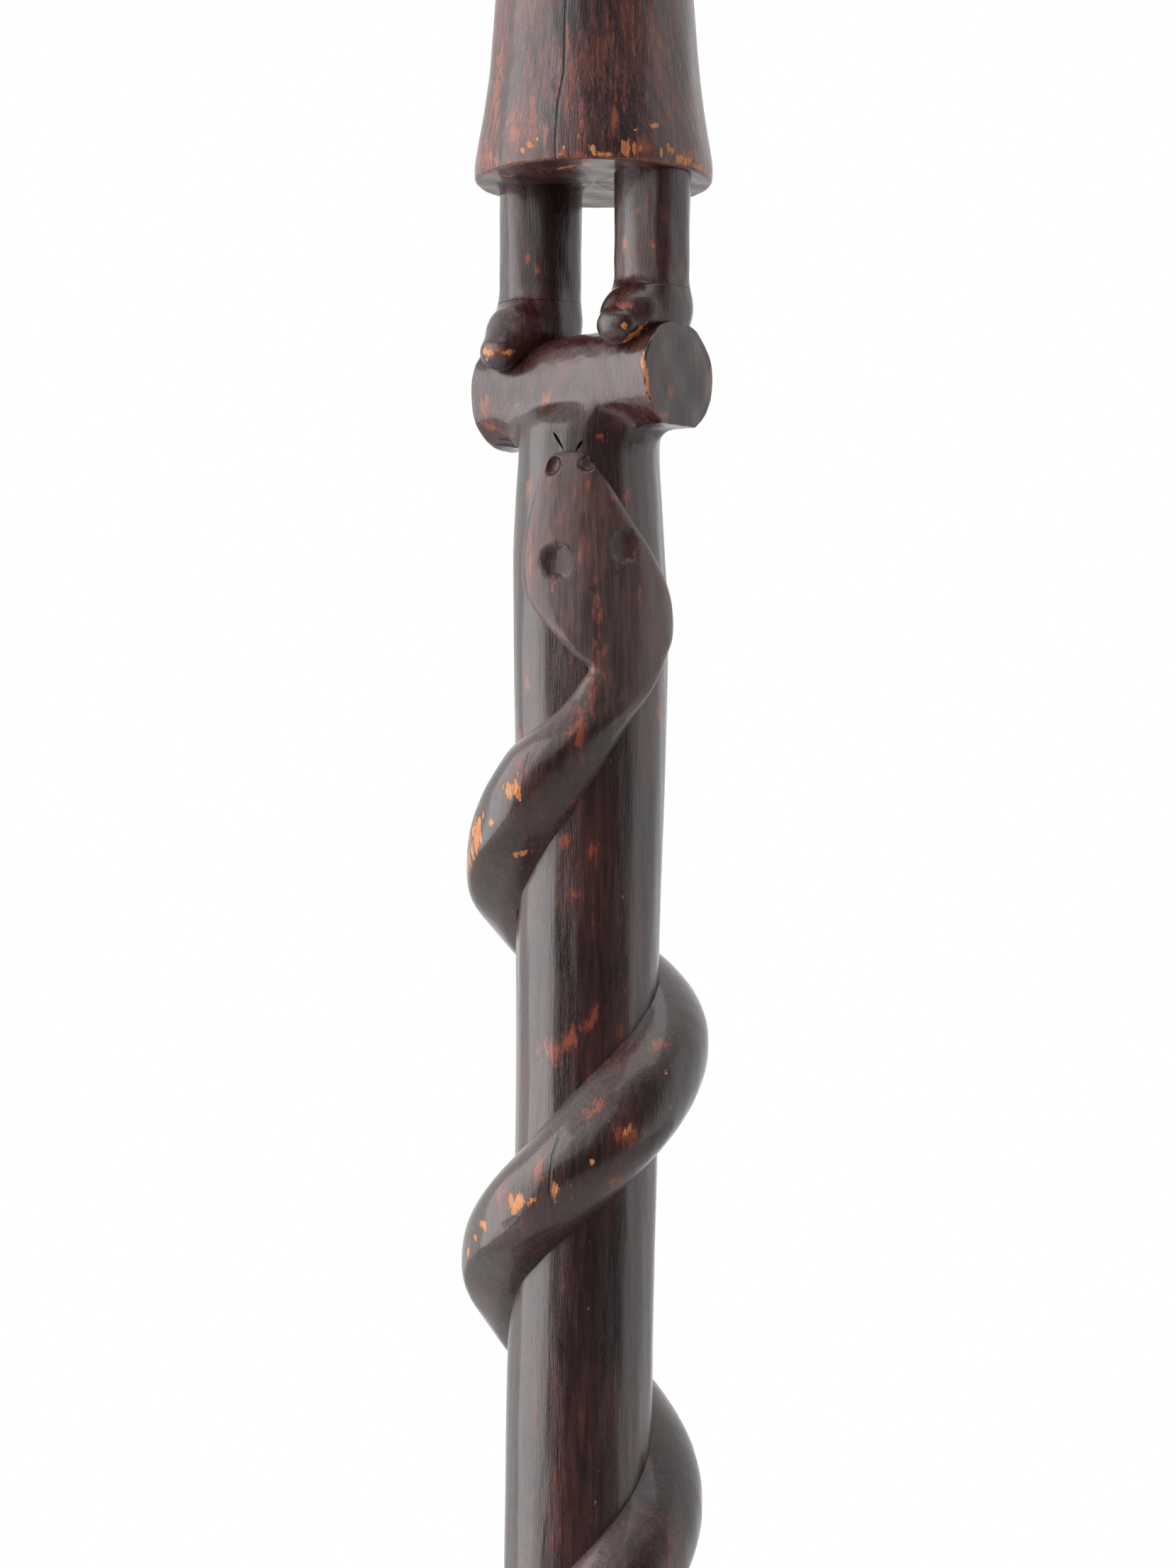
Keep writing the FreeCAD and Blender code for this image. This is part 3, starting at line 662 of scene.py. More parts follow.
@dataclass(frozen=True)
class StainedWood(Finish):
    """Hardwood stained nearly black, polished, rubbed red in places and chipped to bare wood; its dents are
    darkened with painted shade and its dull places take a lighter grey painted sheen.

    Attributes:
        dark, brown: the stain's darker and lighter tones, mixed by noise; the dark one also darkens the dents
            as painted shade.
        rubbed_dark, rubbed: where hands have worn the stain thin, and where they have worn it through.
        bare, bare_dark: broken wood.
        grey_sheen: a lighter grey painted sheen, laid in streaks where the polish has gone dull.
        cleft: the ground of a crack.
        redness: how much of the surface is rubbed, from 0 to 1.
        streaks: how far the rubbing follows the grain in fine lines, from 0 to 1.
        gloss: the roughness of the polish.
        coat: how much clear polish lies on the stain.
    """

    slot: str = "stained_wood"
    dark: tuple = colour(42, 23, 23)
    brown: tuple = colour(74, 42, 39)
    rubbed_dark: tuple = colour(100, 43, 33)
    rubbed: tuple = colour(140, 67, 42)
    bare: tuple = colour(214, 140, 78)
    bare_dark: tuple = colour(166, 92, 44)
    grey_sheen: tuple = colour(122, 90, 84)
    cleft: tuple = colour(12, 7, 8)
    redness: float = 0.35
    streaks: float = 0.0
    gloss: float = 0.25
    coat: float = 0.45

    def make(self) -> bpy.types.Material:
        """Build the material from its noises, its layers of colour, its polish and its relief."""
        nodes, lines = Nodes(self.name), self.streaks
        streak = nodes.noise(0.07 - 0.04 * lines, 1100, 5, 0.6)
        fine = nodes.noise(0.05 - 0.025 * lines, 4200, 3, 0.6)
        cloud = nodes.noise(0.45, 95, 4, 0.55)
        grain = nodes.noise(0.35, 1000, 6, 0.65)
        pore = nodes.noise(0.5, 3600, 3, 0.6)
        blot = nodes.noise(0.5, 300, 5, 0.62)

        tone = nodes.span(nodes.sum((cloud, 0.55), (streak, 0.45)), 0.38, 0.64)
        stain = nodes.mix(tone, self.dark, self.brown)
        worn = nodes.sum((cloud, 0.5 - 0.15 * lines), (blot, 0.6 - 0.5 * lines), (streak, 0.55 - 0.1 * lines),
                         (fine, 0.9 * lines), (nodes.worn("edge"), 0.14))
        limit = 0.93 + 0.25 * (0.5 - self.redness) + 0.075 * lines
        everywhere = nodes.span(worn, limit - 0.06, limit + 0.22)
        rubbed = nodes.sum((nodes.worn(MarkKind.RUB.value), 1.4), (blot, 1.5), (grain, 2.6),
                           (streak, 0.4 + lines))
        red = nodes.math("MAXIMUM", everywhere, nodes.span(rubbed, 2.75 + 0.5 * lines, 3.75 + 0.5 * lines))
        tint = nodes.mix(nodes.span(red, 0.25, 0.95), self.rubbed_dark, self.rubbed)
        surface = nodes.mix(nodes.span(red, 0.0, 0.8, 0.0, 0.85), stain, tint)
        # Painted sheen: where a piece is marked dull, a lighter grey is laid in streaks over the stain.
        sheen_share = nodes.math("MULTIPLY", nodes.worn("matt_and_sheen"), nodes.span(streak, 0.3, 0.7, 0.08, 0.36))
        surface = nodes.mix(sheen_share, surface, self.grey_sheen)

        ragged = nodes.sum((nodes.worn(MarkKind.CHIP.value), 1.0), (grain, 2.5), (fine, 0.7))
        chip = nodes.span(ragged, 2.11, 2.18)
        surface = nodes.mix(chip, surface, nodes.mix(nodes.span(fine, 0.35, 0.65), self.bare, self.bare_dark))
        dent_shade = nodes.span(nodes.sum((nodes.worn(MarkKind.DENT_SHADE.value), 1.0), (grain, 1.0)), 0.9, 1.2)
        gap = nodes.math("ABSOLUTE", nodes.worn("gap"))
        split = nodes.math("MULTIPLY", nodes.span(gap, 0.24, 0.06), nodes.worn("split"), clamp=True)
        # Painted shade: the dents are darkened halfway to the dark stain.
        surface = nodes.mix(nodes.math("MULTIPLY", dent_shade, 0.5), surface, self.dark)
        surface = nodes.mix(nodes.math("MULTIPLY", split, 0.92), surface, self.cleft)

        polish = nodes.span(nodes.sum((streak, 0.5), (blot, 0.3), (fine, 0.2)), 0.35, 0.66,
                            self.gloss - 0.08, self.gloss + 0.12)
        dull = nodes.sum((chip, 0.3), (dent_shade, 0.3), (nodes.worn("matt_and_sheen"), 0.3))
        nodes.shade(Base_Color=surface, Roughness=nodes.math("ADD", polish, dull, clamp=True),
                    Coat_Weight=self.coat, Coat_Roughness=0.12, IOR=1.5)
        height = nodes.sum((streak, 0.085 + 0.06 * lines), (fine, 0.065 + 0.05 * lines), (blot, 0.17),
                           (grain, 0.045), (pore, 0.035), (chip, -0.14), (dent_shade, -0.25), (split, -0.5))
        nodes.relief(height, MM)
        return nodes.material


@dataclass(frozen=True)
class OldBrass(Finish):
    """Dull brass, scratched and darkened where it isn't rubbed."""

    slot: str = "ferrule_metal"
    bright: tuple = colour(178, 140, 82)
    tarnish: tuple = colour(88, 62, 36)

    def make(self) -> bpy.types.Material:
        """Build the material."""
        nodes = Nodes(self.name)
        cloud, scratch = nodes.noise(1, 160, 5, 0.6), nodes.noise(12, 500, 4, 0.7)
        aged = nodes.span(nodes.sum((cloud, 0.7), (scratch, 0.3)), 0.38, 0.66)
        nodes.shade(Base_Color=nodes.mix(aged, self.bright, self.tarnish), Metallic=1.0,
                    Roughness=nodes.span(aged, 0, 1, 0.28, 0.6))
        nodes.relief(scratch, 0.05 * MM)
        return nodes.material


STAFF_WOOD = StainedWood("staff_wood", redness=0.5, dark=colour(34, 19, 19), brown=colour(66, 38, 36))
SNAKE_WOOD = StainedWood("snake_wood", redness=0.5, dark=colour(34, 19, 19), brown=colour(68, 39, 36))
LOG_WOOD = StainedWood("log_wood", redness=0.34, coat=0.35, brown=colour(80, 50, 48))
LEG_WOOD = StainedWood("leg_wood", redness=0.5, coat=0.3, dark=colour(38, 20, 20), brown=colour(68, 38, 36))
ROBE_WOOD = StainedWood("robe_wood", redness=0.84, streaks=1.0, coat=0.3, brown=colour(84, 51, 50),
                        rubbed=colour(140, 70, 46))
BODY_WOOD = StainedWood("body_wood", redness=0.6, brown=colour(76, 44, 40))
BRASS = OldBrass("old_brass")


@dataclass
class Log:
    """The short log across the staff, in the figure's frame: X along it, the front towards -Y.

    Attributes:
        axis, radius, half: its axis's height, its radius and half its length.
        waist: how much thinner it is in its middle.
        far_round, near_round: how its two rims are rounded.
        hollow: the radius of the hollow between it and the staff.
        fullness: how much it swells below its far end.
        flat: how deep its underside is planed off near its near end.
        scoop, scoop_size: the middle and the half length and depth of the cut beside the staff.
        seam: the levels between which the staff takes over.
    """

    axis: float = 726.7
    radius: float = 10.3
    half: float = 21.5
    waist: float = 0.6
    far_round: float = 0.7
    near_round: float = 0.35
    hollow: float = 5.0
    fullness: float = 0.9
    flat: float = 1.25
    scoop: tuple = (10.5, -10.8, -12.5)
    scoop_size: tuple = (12.0, 8.0)
    seam: tuple = (714.8, 717.2)
    marks: tuple = (*marked(MarkKind.CHIP, (910.5, 528, 9, 54, -9)),
        *marked(MarkKind.RUB, (684, 572, 24, 38, -20), (728, 572, 20, 9), (697, 604, 60, 9, 24),
            (1003, 548, 5, 70), (938, 586, 18, 12, 30), (946, 552, 10, 24, 10), (770, 565, 14, 30, 20)))

    def distance(self, points: Points) -> Points:
        """Return the distance to the log from places in the stick's frame."""
        own = turned_about(points, -FIGURE_TURN)
        along, across, above = own[:, 0], own[:, 1], own[:, 2] - self.axis
        girth = self.radius - self.waist * np.clip(1 - (along / self.half) ** 2, 0, 1)
        girth = girth + self.fullness * ease(-along, 4, 19) * ease(-above, 1, 8)
        edge = np.where(along < 0, self.far_round, self.near_round)
        side, end = np.hypot(across, above) - girth + edge, np.abs(along) - self.half + edge
        inner = np.minimum(np.maximum(side, end), 0)
        rounded = inner + np.hypot(np.maximum(side, 0), np.maximum(end, 0)) - edge
        planed = ease(along, 11, 15)
        flat = (-above - (self.radius - self.flat)) * planed - 9.0 * (1 - planed)
        whole = np.maximum(rounded, flat) - unevenness(own * (0.6, 1.4, 1.4), 0.14)
        long, deep = self.scoop_size
        scoop = np.linalg.norm((own - (0.0, 0.0, self.axis) - self.scoop) * (deep / long, 1, 1), axis=1)
        return np.maximum(whole, deep - scoop)

    def build(self, staff: "Staff") -> None:
        """Make the log, grown together with the staff.

        Args:
            staff: the staff that it lies on.
        """
        fan_end, end_start, step_in, sawn_in = 0.22, 0.84, 6.0, 0.12

        def whole(points: Points) -> Points:
            """Return the distance to log and staff, sunk a little where the staff takes over."""
            return staff.with_log(points) + 0.06 * (1 - ease(points[:, 2], *self.seam))

        def shape(turn: Points, along: Points) -> Points:
            """Give the log's surface from its round far end to its sawn near end."""
            angle = turn * FULL_TURN
            fan = np.clip(1 - along / fan_end, 0, 1) * math.pi / 2
            travel = np.clip((along - fan_end) / (end_start - fan_end), 0, 1)
            place = np.minimum(step_in - self.half + (2 * self.half - step_in) * travel, self.half - sawn_in)
            start = joined(place, 0, self.axis)
            way = joined(-np.sin(fan), np.cos(fan) * np.sin(angle), np.cos(fan) * np.cos(angle))
            reach = reach_out(turned_about(start, FIGURE_TURN), turned_about(way, FIGURE_TURN), whole, 22.0)
            reach = np.minimum(reach, down_to(way, self.seam[0] - self.axis))
            cap = np.clip((along - end_start) / (1 - end_start), 0, 1)
            places = start + way * (reach * (1 - cap))[:, None]
            saw = 0.12 * np.sin(places[:, 1] * 0.7) * np.sin(places[:, 2] * 0.5)
            places[:, 0] += (cap > 0) * (sawn_in + 0.25 * ease(cap, 0, 0.3) + saw)
            return places

        piece = Bench.to_stick(Bench.bar("log_wood", 150, 14, shape))
        staff.cut_tongue(piece)
        Bench.finish(piece, "log", LOG_WOOD, self.marks)


@dataclass
class Staff:
    """The turned staff.

    Attributes:
        crossing: the log on its top.
        girths: level, radius and how far the axis stands to the right.
        rows: shares of the bar's length, and the levels that they lie at.
        stub: the radius and the upper end of the stub in the ferrule.
        grown: the levels between which it grows together with the log.
        shoulder: the level that the hollow under the log keeps below.
        tongue: two V cuts, each from pixel to pixel, with its half width and its depth.
    """

    crossing: Log
    girths: tuple = ((34.0, 10.0, 0.0), (180.0, 11.2, -0.3), (334.0, 12.5, -0.8), (460.0, 13.7, -1.1),
                     (512.0, 13.92, -1.1), (543.0, 13.82, -0.85), (581.0, 13.45, 0.1), (621.0, 13.62, 0.15),
                     (657.0, 14.3, 0.45), (672.0, 14.56, 0.4), (684.0, 14.62, 0.28), (695.0, 14.36, -0.1),
                     (706.0, 13.8, -0.2), (714.0, 13.4, -0.2), (718.0, 13.5, -0.15), (724.0, 14.6, 0.0))
    rows: tuple = ((0.0, 0.06, 0.1728, 1.0), (3.0, 34.0, 323.8, 724.0))
    stub: tuple = (8.2, 33.999)
    grown: tuple = (704.0, 717.6)
    shoulder: float = 721.0
    tongue: tuple = (((778.5, 606), (797.5, 639), 0.42, 0.75), ((822, 620), (811.5, 638.5), 0.34, 0.7))
    marks: tuple = marked(MarkKind.RUB, (778, 1487, 38, 54, 10), (806, 1463, 30, 46, 30),
        (836, 1432, 24, 60, 28), (745, 690, 9, 60), (746, 765, 10, 100), (772, 660, 16, 60, 10),
        (848, 612, 26, 40, 10), (884, 700, 10, 40, 8), (744, 960, 10, 50), (838, 1200, 26, 30, 30),
        (799, 1185, 26, 40, 40), (812, 1262, 14, 24), (733, 1040, 6, 30), (930, 1000, 10, 60))

    def size(self, level: Points) -> tuple[Points, Points]:
        """Return the staff's radius at a level and how far its axis stands to the right."""
        row = through(np.maximum(level, self.girths[0][0]), self.girths)
        return row[..., 0], row[..., 1]

    def ground(self, angle: Points, level: Points) -> Points:
        """Return how deep the surface is cut down beside the snake's jaw and neck."""
        beside = ease(angle, -72, -14) * (1 - ease(angle, 6, 20))
        return 1.7 * beside * (1 - ease(level, 676, 690)) * ease(level, 655, 664)

    def on_side(self, angle: Points, level: Points, lift: Points = 0.0) -> Points:
        """Return the place at an angle in degrees, lifted off the staff's surface."""
        radius, middle = self.size(level)
        return around(np.radians(angle), radius + lift, level, middle)

    def pixel(self, x: float, y: float) -> tuple[float, float]:
        """Return the angle and the level of a pixel on the staff's surface."""
        level = PHOTO.eye_level + (PHOTO.height / 2 - y) * PHOTO.scale
        for _ in range(3):
            radius, middle = self.size(np.array(level))
            angle, level = PHOTO.on_round(x, y, float(radius), float(middle))
        return angle, level

    @staticmethod
    def scraped(points: Points) -> Points:
        """Return the lift that the knife and the scraper left along the staff."""
        angle, level = np.arctan2(points[..., 0], -points[..., 1]), points[..., 2]
        ridges = 0.045 * np.cos(11 * angle + 0.02 * level) + 0.035 * np.cos(17 * angle + 1.3 - 0.03 * level)
        return unevenness(points * (1.0, 1.0, 0.35), 0.09) + ridges

    def with_log(self, points: Points) -> Points:
        """Return the distance to the staff and the log grown together."""
        radius, middle = self.size(np.minimum(points[:, 2], 716))
        staff = np.hypot(points[:, 0] - middle, points[:, 1]) - radius - self.scraped(points)
        staff = -blend(-staff, self.shoulder - points[:, 2], self.crossing.hollow)
        return blend(staff, self.crossing.distance(points), self.crossing.hollow)

    def shape(self, turn: Points, along: Points) -> Points:
        """Give the staff's surface, from the stub in the ferrule to its top inside the log."""
        level, angle = np.interp(along, *self.rows), turn * FULL_TURN
        degrees = np.degrees(angle)
        places = self.on_side(degrees, level, -self.ground(degrees, level))
        radius, stub_end = self.stub
        in_cup = level < stub_end
        places[in_cup] = around(angle, radius, level)[in_cup]
        lift = self.scraped(places) * (level > stub_end + 2)
        outward = around(angle)
        low, high = self.grown
        top = (level > low) & (level < high)
        reach = reach_out(joined(0, 0, level)[top], outward[top], self.with_log, 24.0)
        sunk = 0.06 * ease(level[top], high - 2.4, high - 0.2)
        lift[top] = reach - np.hypot(places[top, 0], places[top, 1]) - sunk
        lift[level >= high] = -6.0
        return places + outward * lift[:, None]

    def blade(self, start: tuple[float, float], end: tuple[float, float], half: float, depth: float) -> Shape:
        """Return the shape of a V cut.

        Args:
            start, end: the pixels that it runs between.
            half: its half width.
            depth: its depth.
        """
        first, last = np.array(self.pixel(*start)), np.array(self.pixel(*end))

        def shape(turn: Points, along: Points) -> Points:
            """Give the blade's four corners, tapered to both ends."""
            angle, level = (first + (last - first) * along[:, None]).T
            taper = np.clip(np.minimum(along / 0.25, (1 - along) / 0.5), 0.02, 1)
            aside, up = np.sin(turn * FULL_TURN), np.cos(turn * FULL_TURN)
            swing = np.degrees(half * taper * aside / 13.7)
            return self.on_side(angle + swing, level, np.where(up > 0, 1.5, -depth * taper) * np.abs(up))

        return shape

    def cut_tongue(self, piece: Piece) -> None:
        """Cut the two V cuts of the snake's tongue into a piece."""
        for cut in self.tongue:
            knife = Bench.bar("knife", 4, 3, self.blade(*cut))
            Bench.modifier(piece, "BOOLEAN", operation="DIFFERENCE", object=knife, solver="EXACT")
            bpy.data.objects.remove(knife)

    def build(self) -> None:
        """Make the staff."""
        shaft = Bench.bar("shaft_wood", 150, 24, self.shape)
        self.cut_tongue(shaft)
        Bench.finish(shaft, "shaft", STAFF_WOOD, self.marks)


@dataclass
class Ferrule:
    """The metal cup on the staff's foot and its pin.

    Attributes:
        skin: rows of (share, radius, level), up the outside, over the rim and down inside.
        pin_radius, pin_level: the pin's size and height.
        pin_start, pin_length: where the pin begins inside the wood and how long it is.
    """

    skin: tuple = ((0.0, 8.2, 0.0), (0.04, 8.75, 0.05), (0.07, 9.2, 0.3), (0.10, 9.45, 0.75),
                   (0.13, 9.5, 1.5), (0.30, 9.5, 9.0), (0.33, 9.5, 9.9), (0.345, 9.35, 10.2),
                   (0.36, 9.5, 10.5), (0.60, 9.5, 29.0), (0.62, 9.38, 29.4), (0.64, 9.5, 29.8),
                   (0.72, 9.5, 33.5), (0.74, 9.35, 33.9), (0.76, 8.9, 34.0), (0.80, 8.4, 33.9),
                   (0.84, 8.3, 33.2), (0.98, 8.3, 3.4), (1.0, 8.0, 3.0))
    pin_radius: float = 1.2
    pin_level: float = 27.0
    pin_start: float = 1.5
    pin_length: float = 8.02

    def cup(self, turn: Points, along: Points) -> Points:
        """Give the cup's skin."""
        share, radius, level = np.array(self.skin).T
        return around(turn * FULL_TURN, np.interp(along, share, radius), np.interp(along, share, level))

    def pin(self, turn: Points, along: Points) -> Points:
        """Give the pin from inside the wood to its filed end at the back."""
        across, down, _ = around(turn * FULL_TURN, self.pin_radius - 0.12 * ease(along, 0.9, 1.0)).T
        return joined(across, self.pin_start + self.pin_length * along, self.pin_level + down)

    def build(self) -> None:
        """Make the cup and the pin."""
        Bench.finish(Bench.bar("ferrule_cup", 96, 10, self.cup), "ferrule", BRASS)
        Bench.finish(Bench.bar("ferrule_pin_end", 32, 3, self.pin), "ferrule_pin", BRASS)


@dataclass
class Snake:
    """The snake in relief: one surface of ribs, divided where its five solids meet.

    Attributes:
        staff: the staff that it winds on.
        ribs: sections of the head and neck as rows of (x, y of the left edge, x, y of the right edge,
            how far the crest rises, how round the section is from 0 to 1).
        centre: angle and level of the body's middle line.
        build_up: angle, width and rise of the body.
        crest: angle, the place of the section's crest from -1 to 1, and how full its shoulders are.
        coils: first and last angle of the body's ribs, and the step between them.
        across, root: points over a section, and points of its inner side.
        sunk: how deep the inner side lies in the staff.
        eyes: pixel, width, height and the deeper side of each eye's pit.
        nostrils: pixel, width, height and lean of each nostril's pit.
        runs: name, node, first and last rib, and steps of each piece.
        dull: the levels between which the polish of the head goes dull and takes a lighter grey painted
            sheen.
    """

    staff: Staff
    ribs: tuple = ((797, 637, 812, 636.5, 0.5, 0.3), (783, 641, 828, 641, 1.5, 0.2),
                   (774, 650, 837, 651, 1.9, 0.1), (769, 664, 846, 664, 2.1, 0.1),
                   (763, 685, 860, 684, 2.3, 0.05), (756, 712, 875, 709, 2.4, 0.05),
                   (749.5, 740, 891, 737, 2.5, 0.05), (745.5, 768, 908, 766, 2.6, 0.05),
                   (743, 798, 922, 796, 2.7, 0.05), (743.5, 824, 932, 824, 2.7, 0.05),
                   (748, 844, 937, 848, 2.7, 0.06), (759, 864, 938.5, 870, 2.7, 0.08),
                   (774, 883, 938.5, 888, 2.7, 0.10), (792, 905, 937, 905, 2.7, 0.13),
                   (813, 928, 931, 926, 2.7, 0.17), (830, 943, 925, 944, 2.8, 0.22),
                   (822, 958, 920, 960, 3.0, 0.3), (810, 976, 913, 977, 3.3, 0.4),
                   (797, 992, 904, 994, 3.8, 0.5), (783.5, 1006, 893, 1012, 4.4, 0.6),
                   (768, 1019, 881, 1031, 5.2, 0.7), (755, 1029, 868, 1052, 6.1, 0.8),
                   (743, 1040, 851, 1079, 7.0, 0.9), (732.5, 1058, 833, 1108, 7.9, 1.0))
    centre: tuple = ((-20, 657.0), (-33, 653.8), (-60, 645.3), (-90, 636.7), (-180, 617.8), (-270, 601.7),
                     (-360, 582.8), (-450, 561.9), (-540, 538.0), (-630, 515.2), (-720, 493.3),
                     (-810, 470.0), (-900, 445.5), (-990, 420.0), (-1080, 393.0), (-1170, 365.0),
                     (-1260, 334.5), (-1350, 299.0))
    build_up: tuple = ((-1350, 4.0, 1.2), (-1310, 5.5, 2.6), (-1240, 9.0, 4.6), (-1150, 12.6, 6.6),
                       (-1050, 15.6, 8.1), (-940, 17.8, 9.0), (-800, 18.6, 9.3), (-630, 20.4, 9.6),
                       (-450, 17.2, 9.4), (-270, 21.0, 9.5), (-180, 18.8, 9.2), (-90, 17.3, 9.4),
                       (-60, 17.3, 9.0))
    crest: tuple = ((-1400, 0.0, 2.15), (-700, 0.0, 2.2), (-630, -0.05, 2.35), (-540, 0.05, 2.4),
                    (-470, 0.12, 2.6), (-448, 0.14, 2.9), (-432, 0.12, 3.7), (-415, 0.1, 4.2),
                    (-400, 0.05, 3.6), (-385, 0.0, 2.6), (-360, 0.0, 2.3), (-270, -0.1, 2.35),
                    (-180, 0.12, 2.3), (-110, 0.15, 2.6), (-88, 0.15, 2.9), (-72, 0.12, 3.4),
                    (-55, 0.1, 3.4), (-42, 0.05, 2.9), (-30, 0.0, 2.4), (60, 0.0, 2.15))
    coils: tuple = (-50.0, -1350.1, -12.0)
    across: int = 56
    root: int = 4
    sunk: float = 3.2
    eyes: tuple = ((785, 792, 44, 53, 1), (880.5, 770, 43, 52, -1))
    nostrils: tuple = ((780.5, 657.5, 19, 30, 24), (828.5, 654, 24, 23, 0))
    runs: tuple = (("snake_head_relief", "snake_head", 0, 15, 14),
                   ("snake_neck_relief", "snake_neck", 15, 28, 12),
                   ("snake_upper_run", "snake_upper_coil", 28, 58, 17),
                   ("snake_lower_run", "snake_lower_coil", 58, 95, 19),
                   ("snake_tail_run", "snake_tail", 95, -1, 19))
    dull: tuple = (654.0, 674.0)
    marks: tuple = (*marked(MarkKind.CHIP, (725, 1113, 22, 34, 20), (672, 1180, 14, 52, 12),
            (659, 1222, 8, 34), (694, 1160, 8, 12), (733, 1204, 26, 8, -8), (728, 1696, 24, 26, 20),
            (782, 1683, 12, 22), (751, 1693, 7, 9), (817, 1684, 4, 13), (683, 1729, 10, 15),
            (670, 1746, 5, 9), (660, 1767, 4, 14), (940, 1514, 4, 14), (947, 1563, 4, 10),
            (885, 1593, 11, 18, 15), (835, 1639, 7, 9)),
        *marked(MarkKind.RUB, (817, 1040, 18, 50, 28), (845, 930, 34, 140, 0, 0.8),
            (822, 1005, 36, 130, 25, 0.85), (748, 800, 9, 110), (816, 786, 12, 64, 15),
            (844, 870, 18, 130, -8), (828, 683, 8, 34), (866, 702, 18, 16), (780, 826, 8, 40),
            (902, 837, 8, 44), (930, 1476, 34, 26, -20), (885, 1600, 40, 44), (840, 1560, 60, 20, -40),
            (760, 1650, 20, 50, 20)),
        # The dents are the eye pits and small pits; they are darkened with painted shade.
        *marked(MarkKind.DENT_SHADE, (838, 831, 14, 18), (872, 808, 6, 6), (788, 792, 40, 46), (880, 770, 38, 46),
            (724, 1725, 26, 16, -20)))
    cracks: tuple = (Crack(0.26, ((792, 1592), (789, 1600), (780, 1628), (777, 1651), (775, 1679),
        (778, 1700), (782, 1712))), Crack(0.12, ((746, 1061), (739, 1087), (738, 1124), (749, 1150))))

    def edges(self) -> tuple[Points, Points, Points]:
        """Return the edges' (angle, level) and the (rise, round) at every rib from nose to tail."""
        left = [self.staff.pixel(*rib[0:2]) for rib in self.ribs]
        right = [self.staff.pixel(*rib[2:4]) for rib in self.ribs]
        form = [rib[4:6] for rib in self.ribs]
        angles = np.arange(*self.coils)
        levels = through(angles, self.centre)[:, 0]
        drops = levels - through(angles - 1, self.centre)[:, 0]
        for angle, level, drop in zip(angles, levels, drops):
            radius = float(self.staff.size(np.array(level))[0])
            slope = math.atan2(drop, math.radians(1) * radius)
            width, rise = through(np.array(angle), self.build_up)
            swing = math.degrees(width / 2 * math.sin(slope) / radius)
            half = width / 2 * math.cos(slope)
            left.append((angle - swing, level + half))
            right.append((angle + swing, level - half))
            form.append((rise, 1.0))
        return np.array(left), np.array(right), np.array(form)

    @staticmethod
    def facet(across: Points, angle: Points, strength: Points) -> Points:
        """Return the highest share of the rise that the knife left at a place of a section.

        Args:
            across: -1 at the upper or left edge, 1 at the lower or right one.
            angle: the section's angle round the staff in degrees.
            strength: 0 on the head, 1 on the coils.
        """
        swing = np.radians(angle)
        lower = np.clip(0.30 - 0.75 * np.sin(swing + 0.25), 0, 1) * strength
        upper = np.clip(0.05 + 0.75 * np.sin(swing - 0.35), 0, 1) * strength
        return np.minimum(0.26 + 1.6 * (1 - across) + 1.2 * (1 - lower),
                          0.34 + 1.05 * (1 + across) + 1.2 * (1 - upper))

    @staticmethod
    def leaned(across: Points, crest: Points) -> Points:
        """Stretch a section so that what lies in its middle comes to the crest's place, from -1 to 1."""
        side = np.where(crest < 0, -1, 1)
        power = math.log(0.5) / np.log((1 + np.abs(crest)) / 2)
        return side * (2 * ((1 + side * across) / 2) ** power - 1)

    def pits(self, places: Points) -> Points:
        """Return how deep the eye and nostril pits are at each place."""
        pixels = PHOTO.project(places)
        depth = np.zeros(len(places))
        for *oval, side in self.eyes:
            right, down = in_oval(pixels, *oval)
            dish = np.clip(1 - np.hypot(right, down) ** 2.4, 0, 1) ** 0.8
            depth = np.maximum(depth, 1.15 * dish * (1 - 0.42 * np.clip(right * side, -1, 1)))
        for oval in self.nostrils:
            reach = np.hypot(*in_oval(pixels, *oval))
            depth = np.maximum(depth, 1.2 * np.clip(1 - reach ** 3, 0, 1) ** 0.7)
        return depth

    def surface(self, first: float, last: float) -> Shape:
        """Return the shape of a run of the snake.

        Args:
            first, last: the numbers of its first and last rib; -1 is the tail's tip.
        """
        left, right, form = self.edges()
        table = np.hstack([np.arange(len(left), dtype=float)[:, None], left, right, form])
        last = len(left) - 1 if last < 0 else last

        def shape(turn: Points, along: Points) -> Points:
            """Give the place for each point of a section, over the crest and back inside."""
            start_turn, start_level, end_turn, end_level, rise, roundness = through(
                first + (last - first) * along, table).T
            count = self.across + self.root
            slot = np.rint((turn % 1.0) * count) % count
            across = -np.cos(np.pi * np.clip(slot / self.across, 0, 1))
            share = (across + 1) / 2
            angle = start_turn + (end_turn - start_turn) * share
            level = start_level + (end_level - start_level) * share
            middle = (start_turn + end_turn) / 2
            crest, power = through(middle, self.crest).T
            power = power + 12.0 * (1 - roundness) ** 2
            full = np.clip(1 - np.abs(self.leaned(across, crest)) ** power, 0, 1)
            lift = full ** (0.5 + 0.25 * (1 - roundness))
            lift = blend(lift, self.facet(across, middle, ease(roundness, 0.5, 1.0)), 0.14)
            base = self.staff.on_side(angle, level)
            hold = ease(roundness, 0.2, 0.95)[:, None]
            outward = around(np.radians(angle)) * (1 - hold) + around(np.radians(middle)) * hold
            outward /= np.linalg.norm(outward, axis=1)[:, None]
            height = rise * lift
            places = base + outward * (height + unevenness(base, 0.12) * ease(height, 0.2, 1.5))[:, None]
            places = places - outward * (self.pits(places) * ease(height, 0.3, 1.0))[:, None]
            root = slot > self.across
            back = np.clip((slot - self.across) / (self.root + 1), 0, 1)
            inside = self.staff.on_side(end_turn + (start_turn - end_turn) * back,
                                        end_level + (start_level - end_level) * back, -self.sunk)
            places[root] = inside[root]
            return places

        return shape

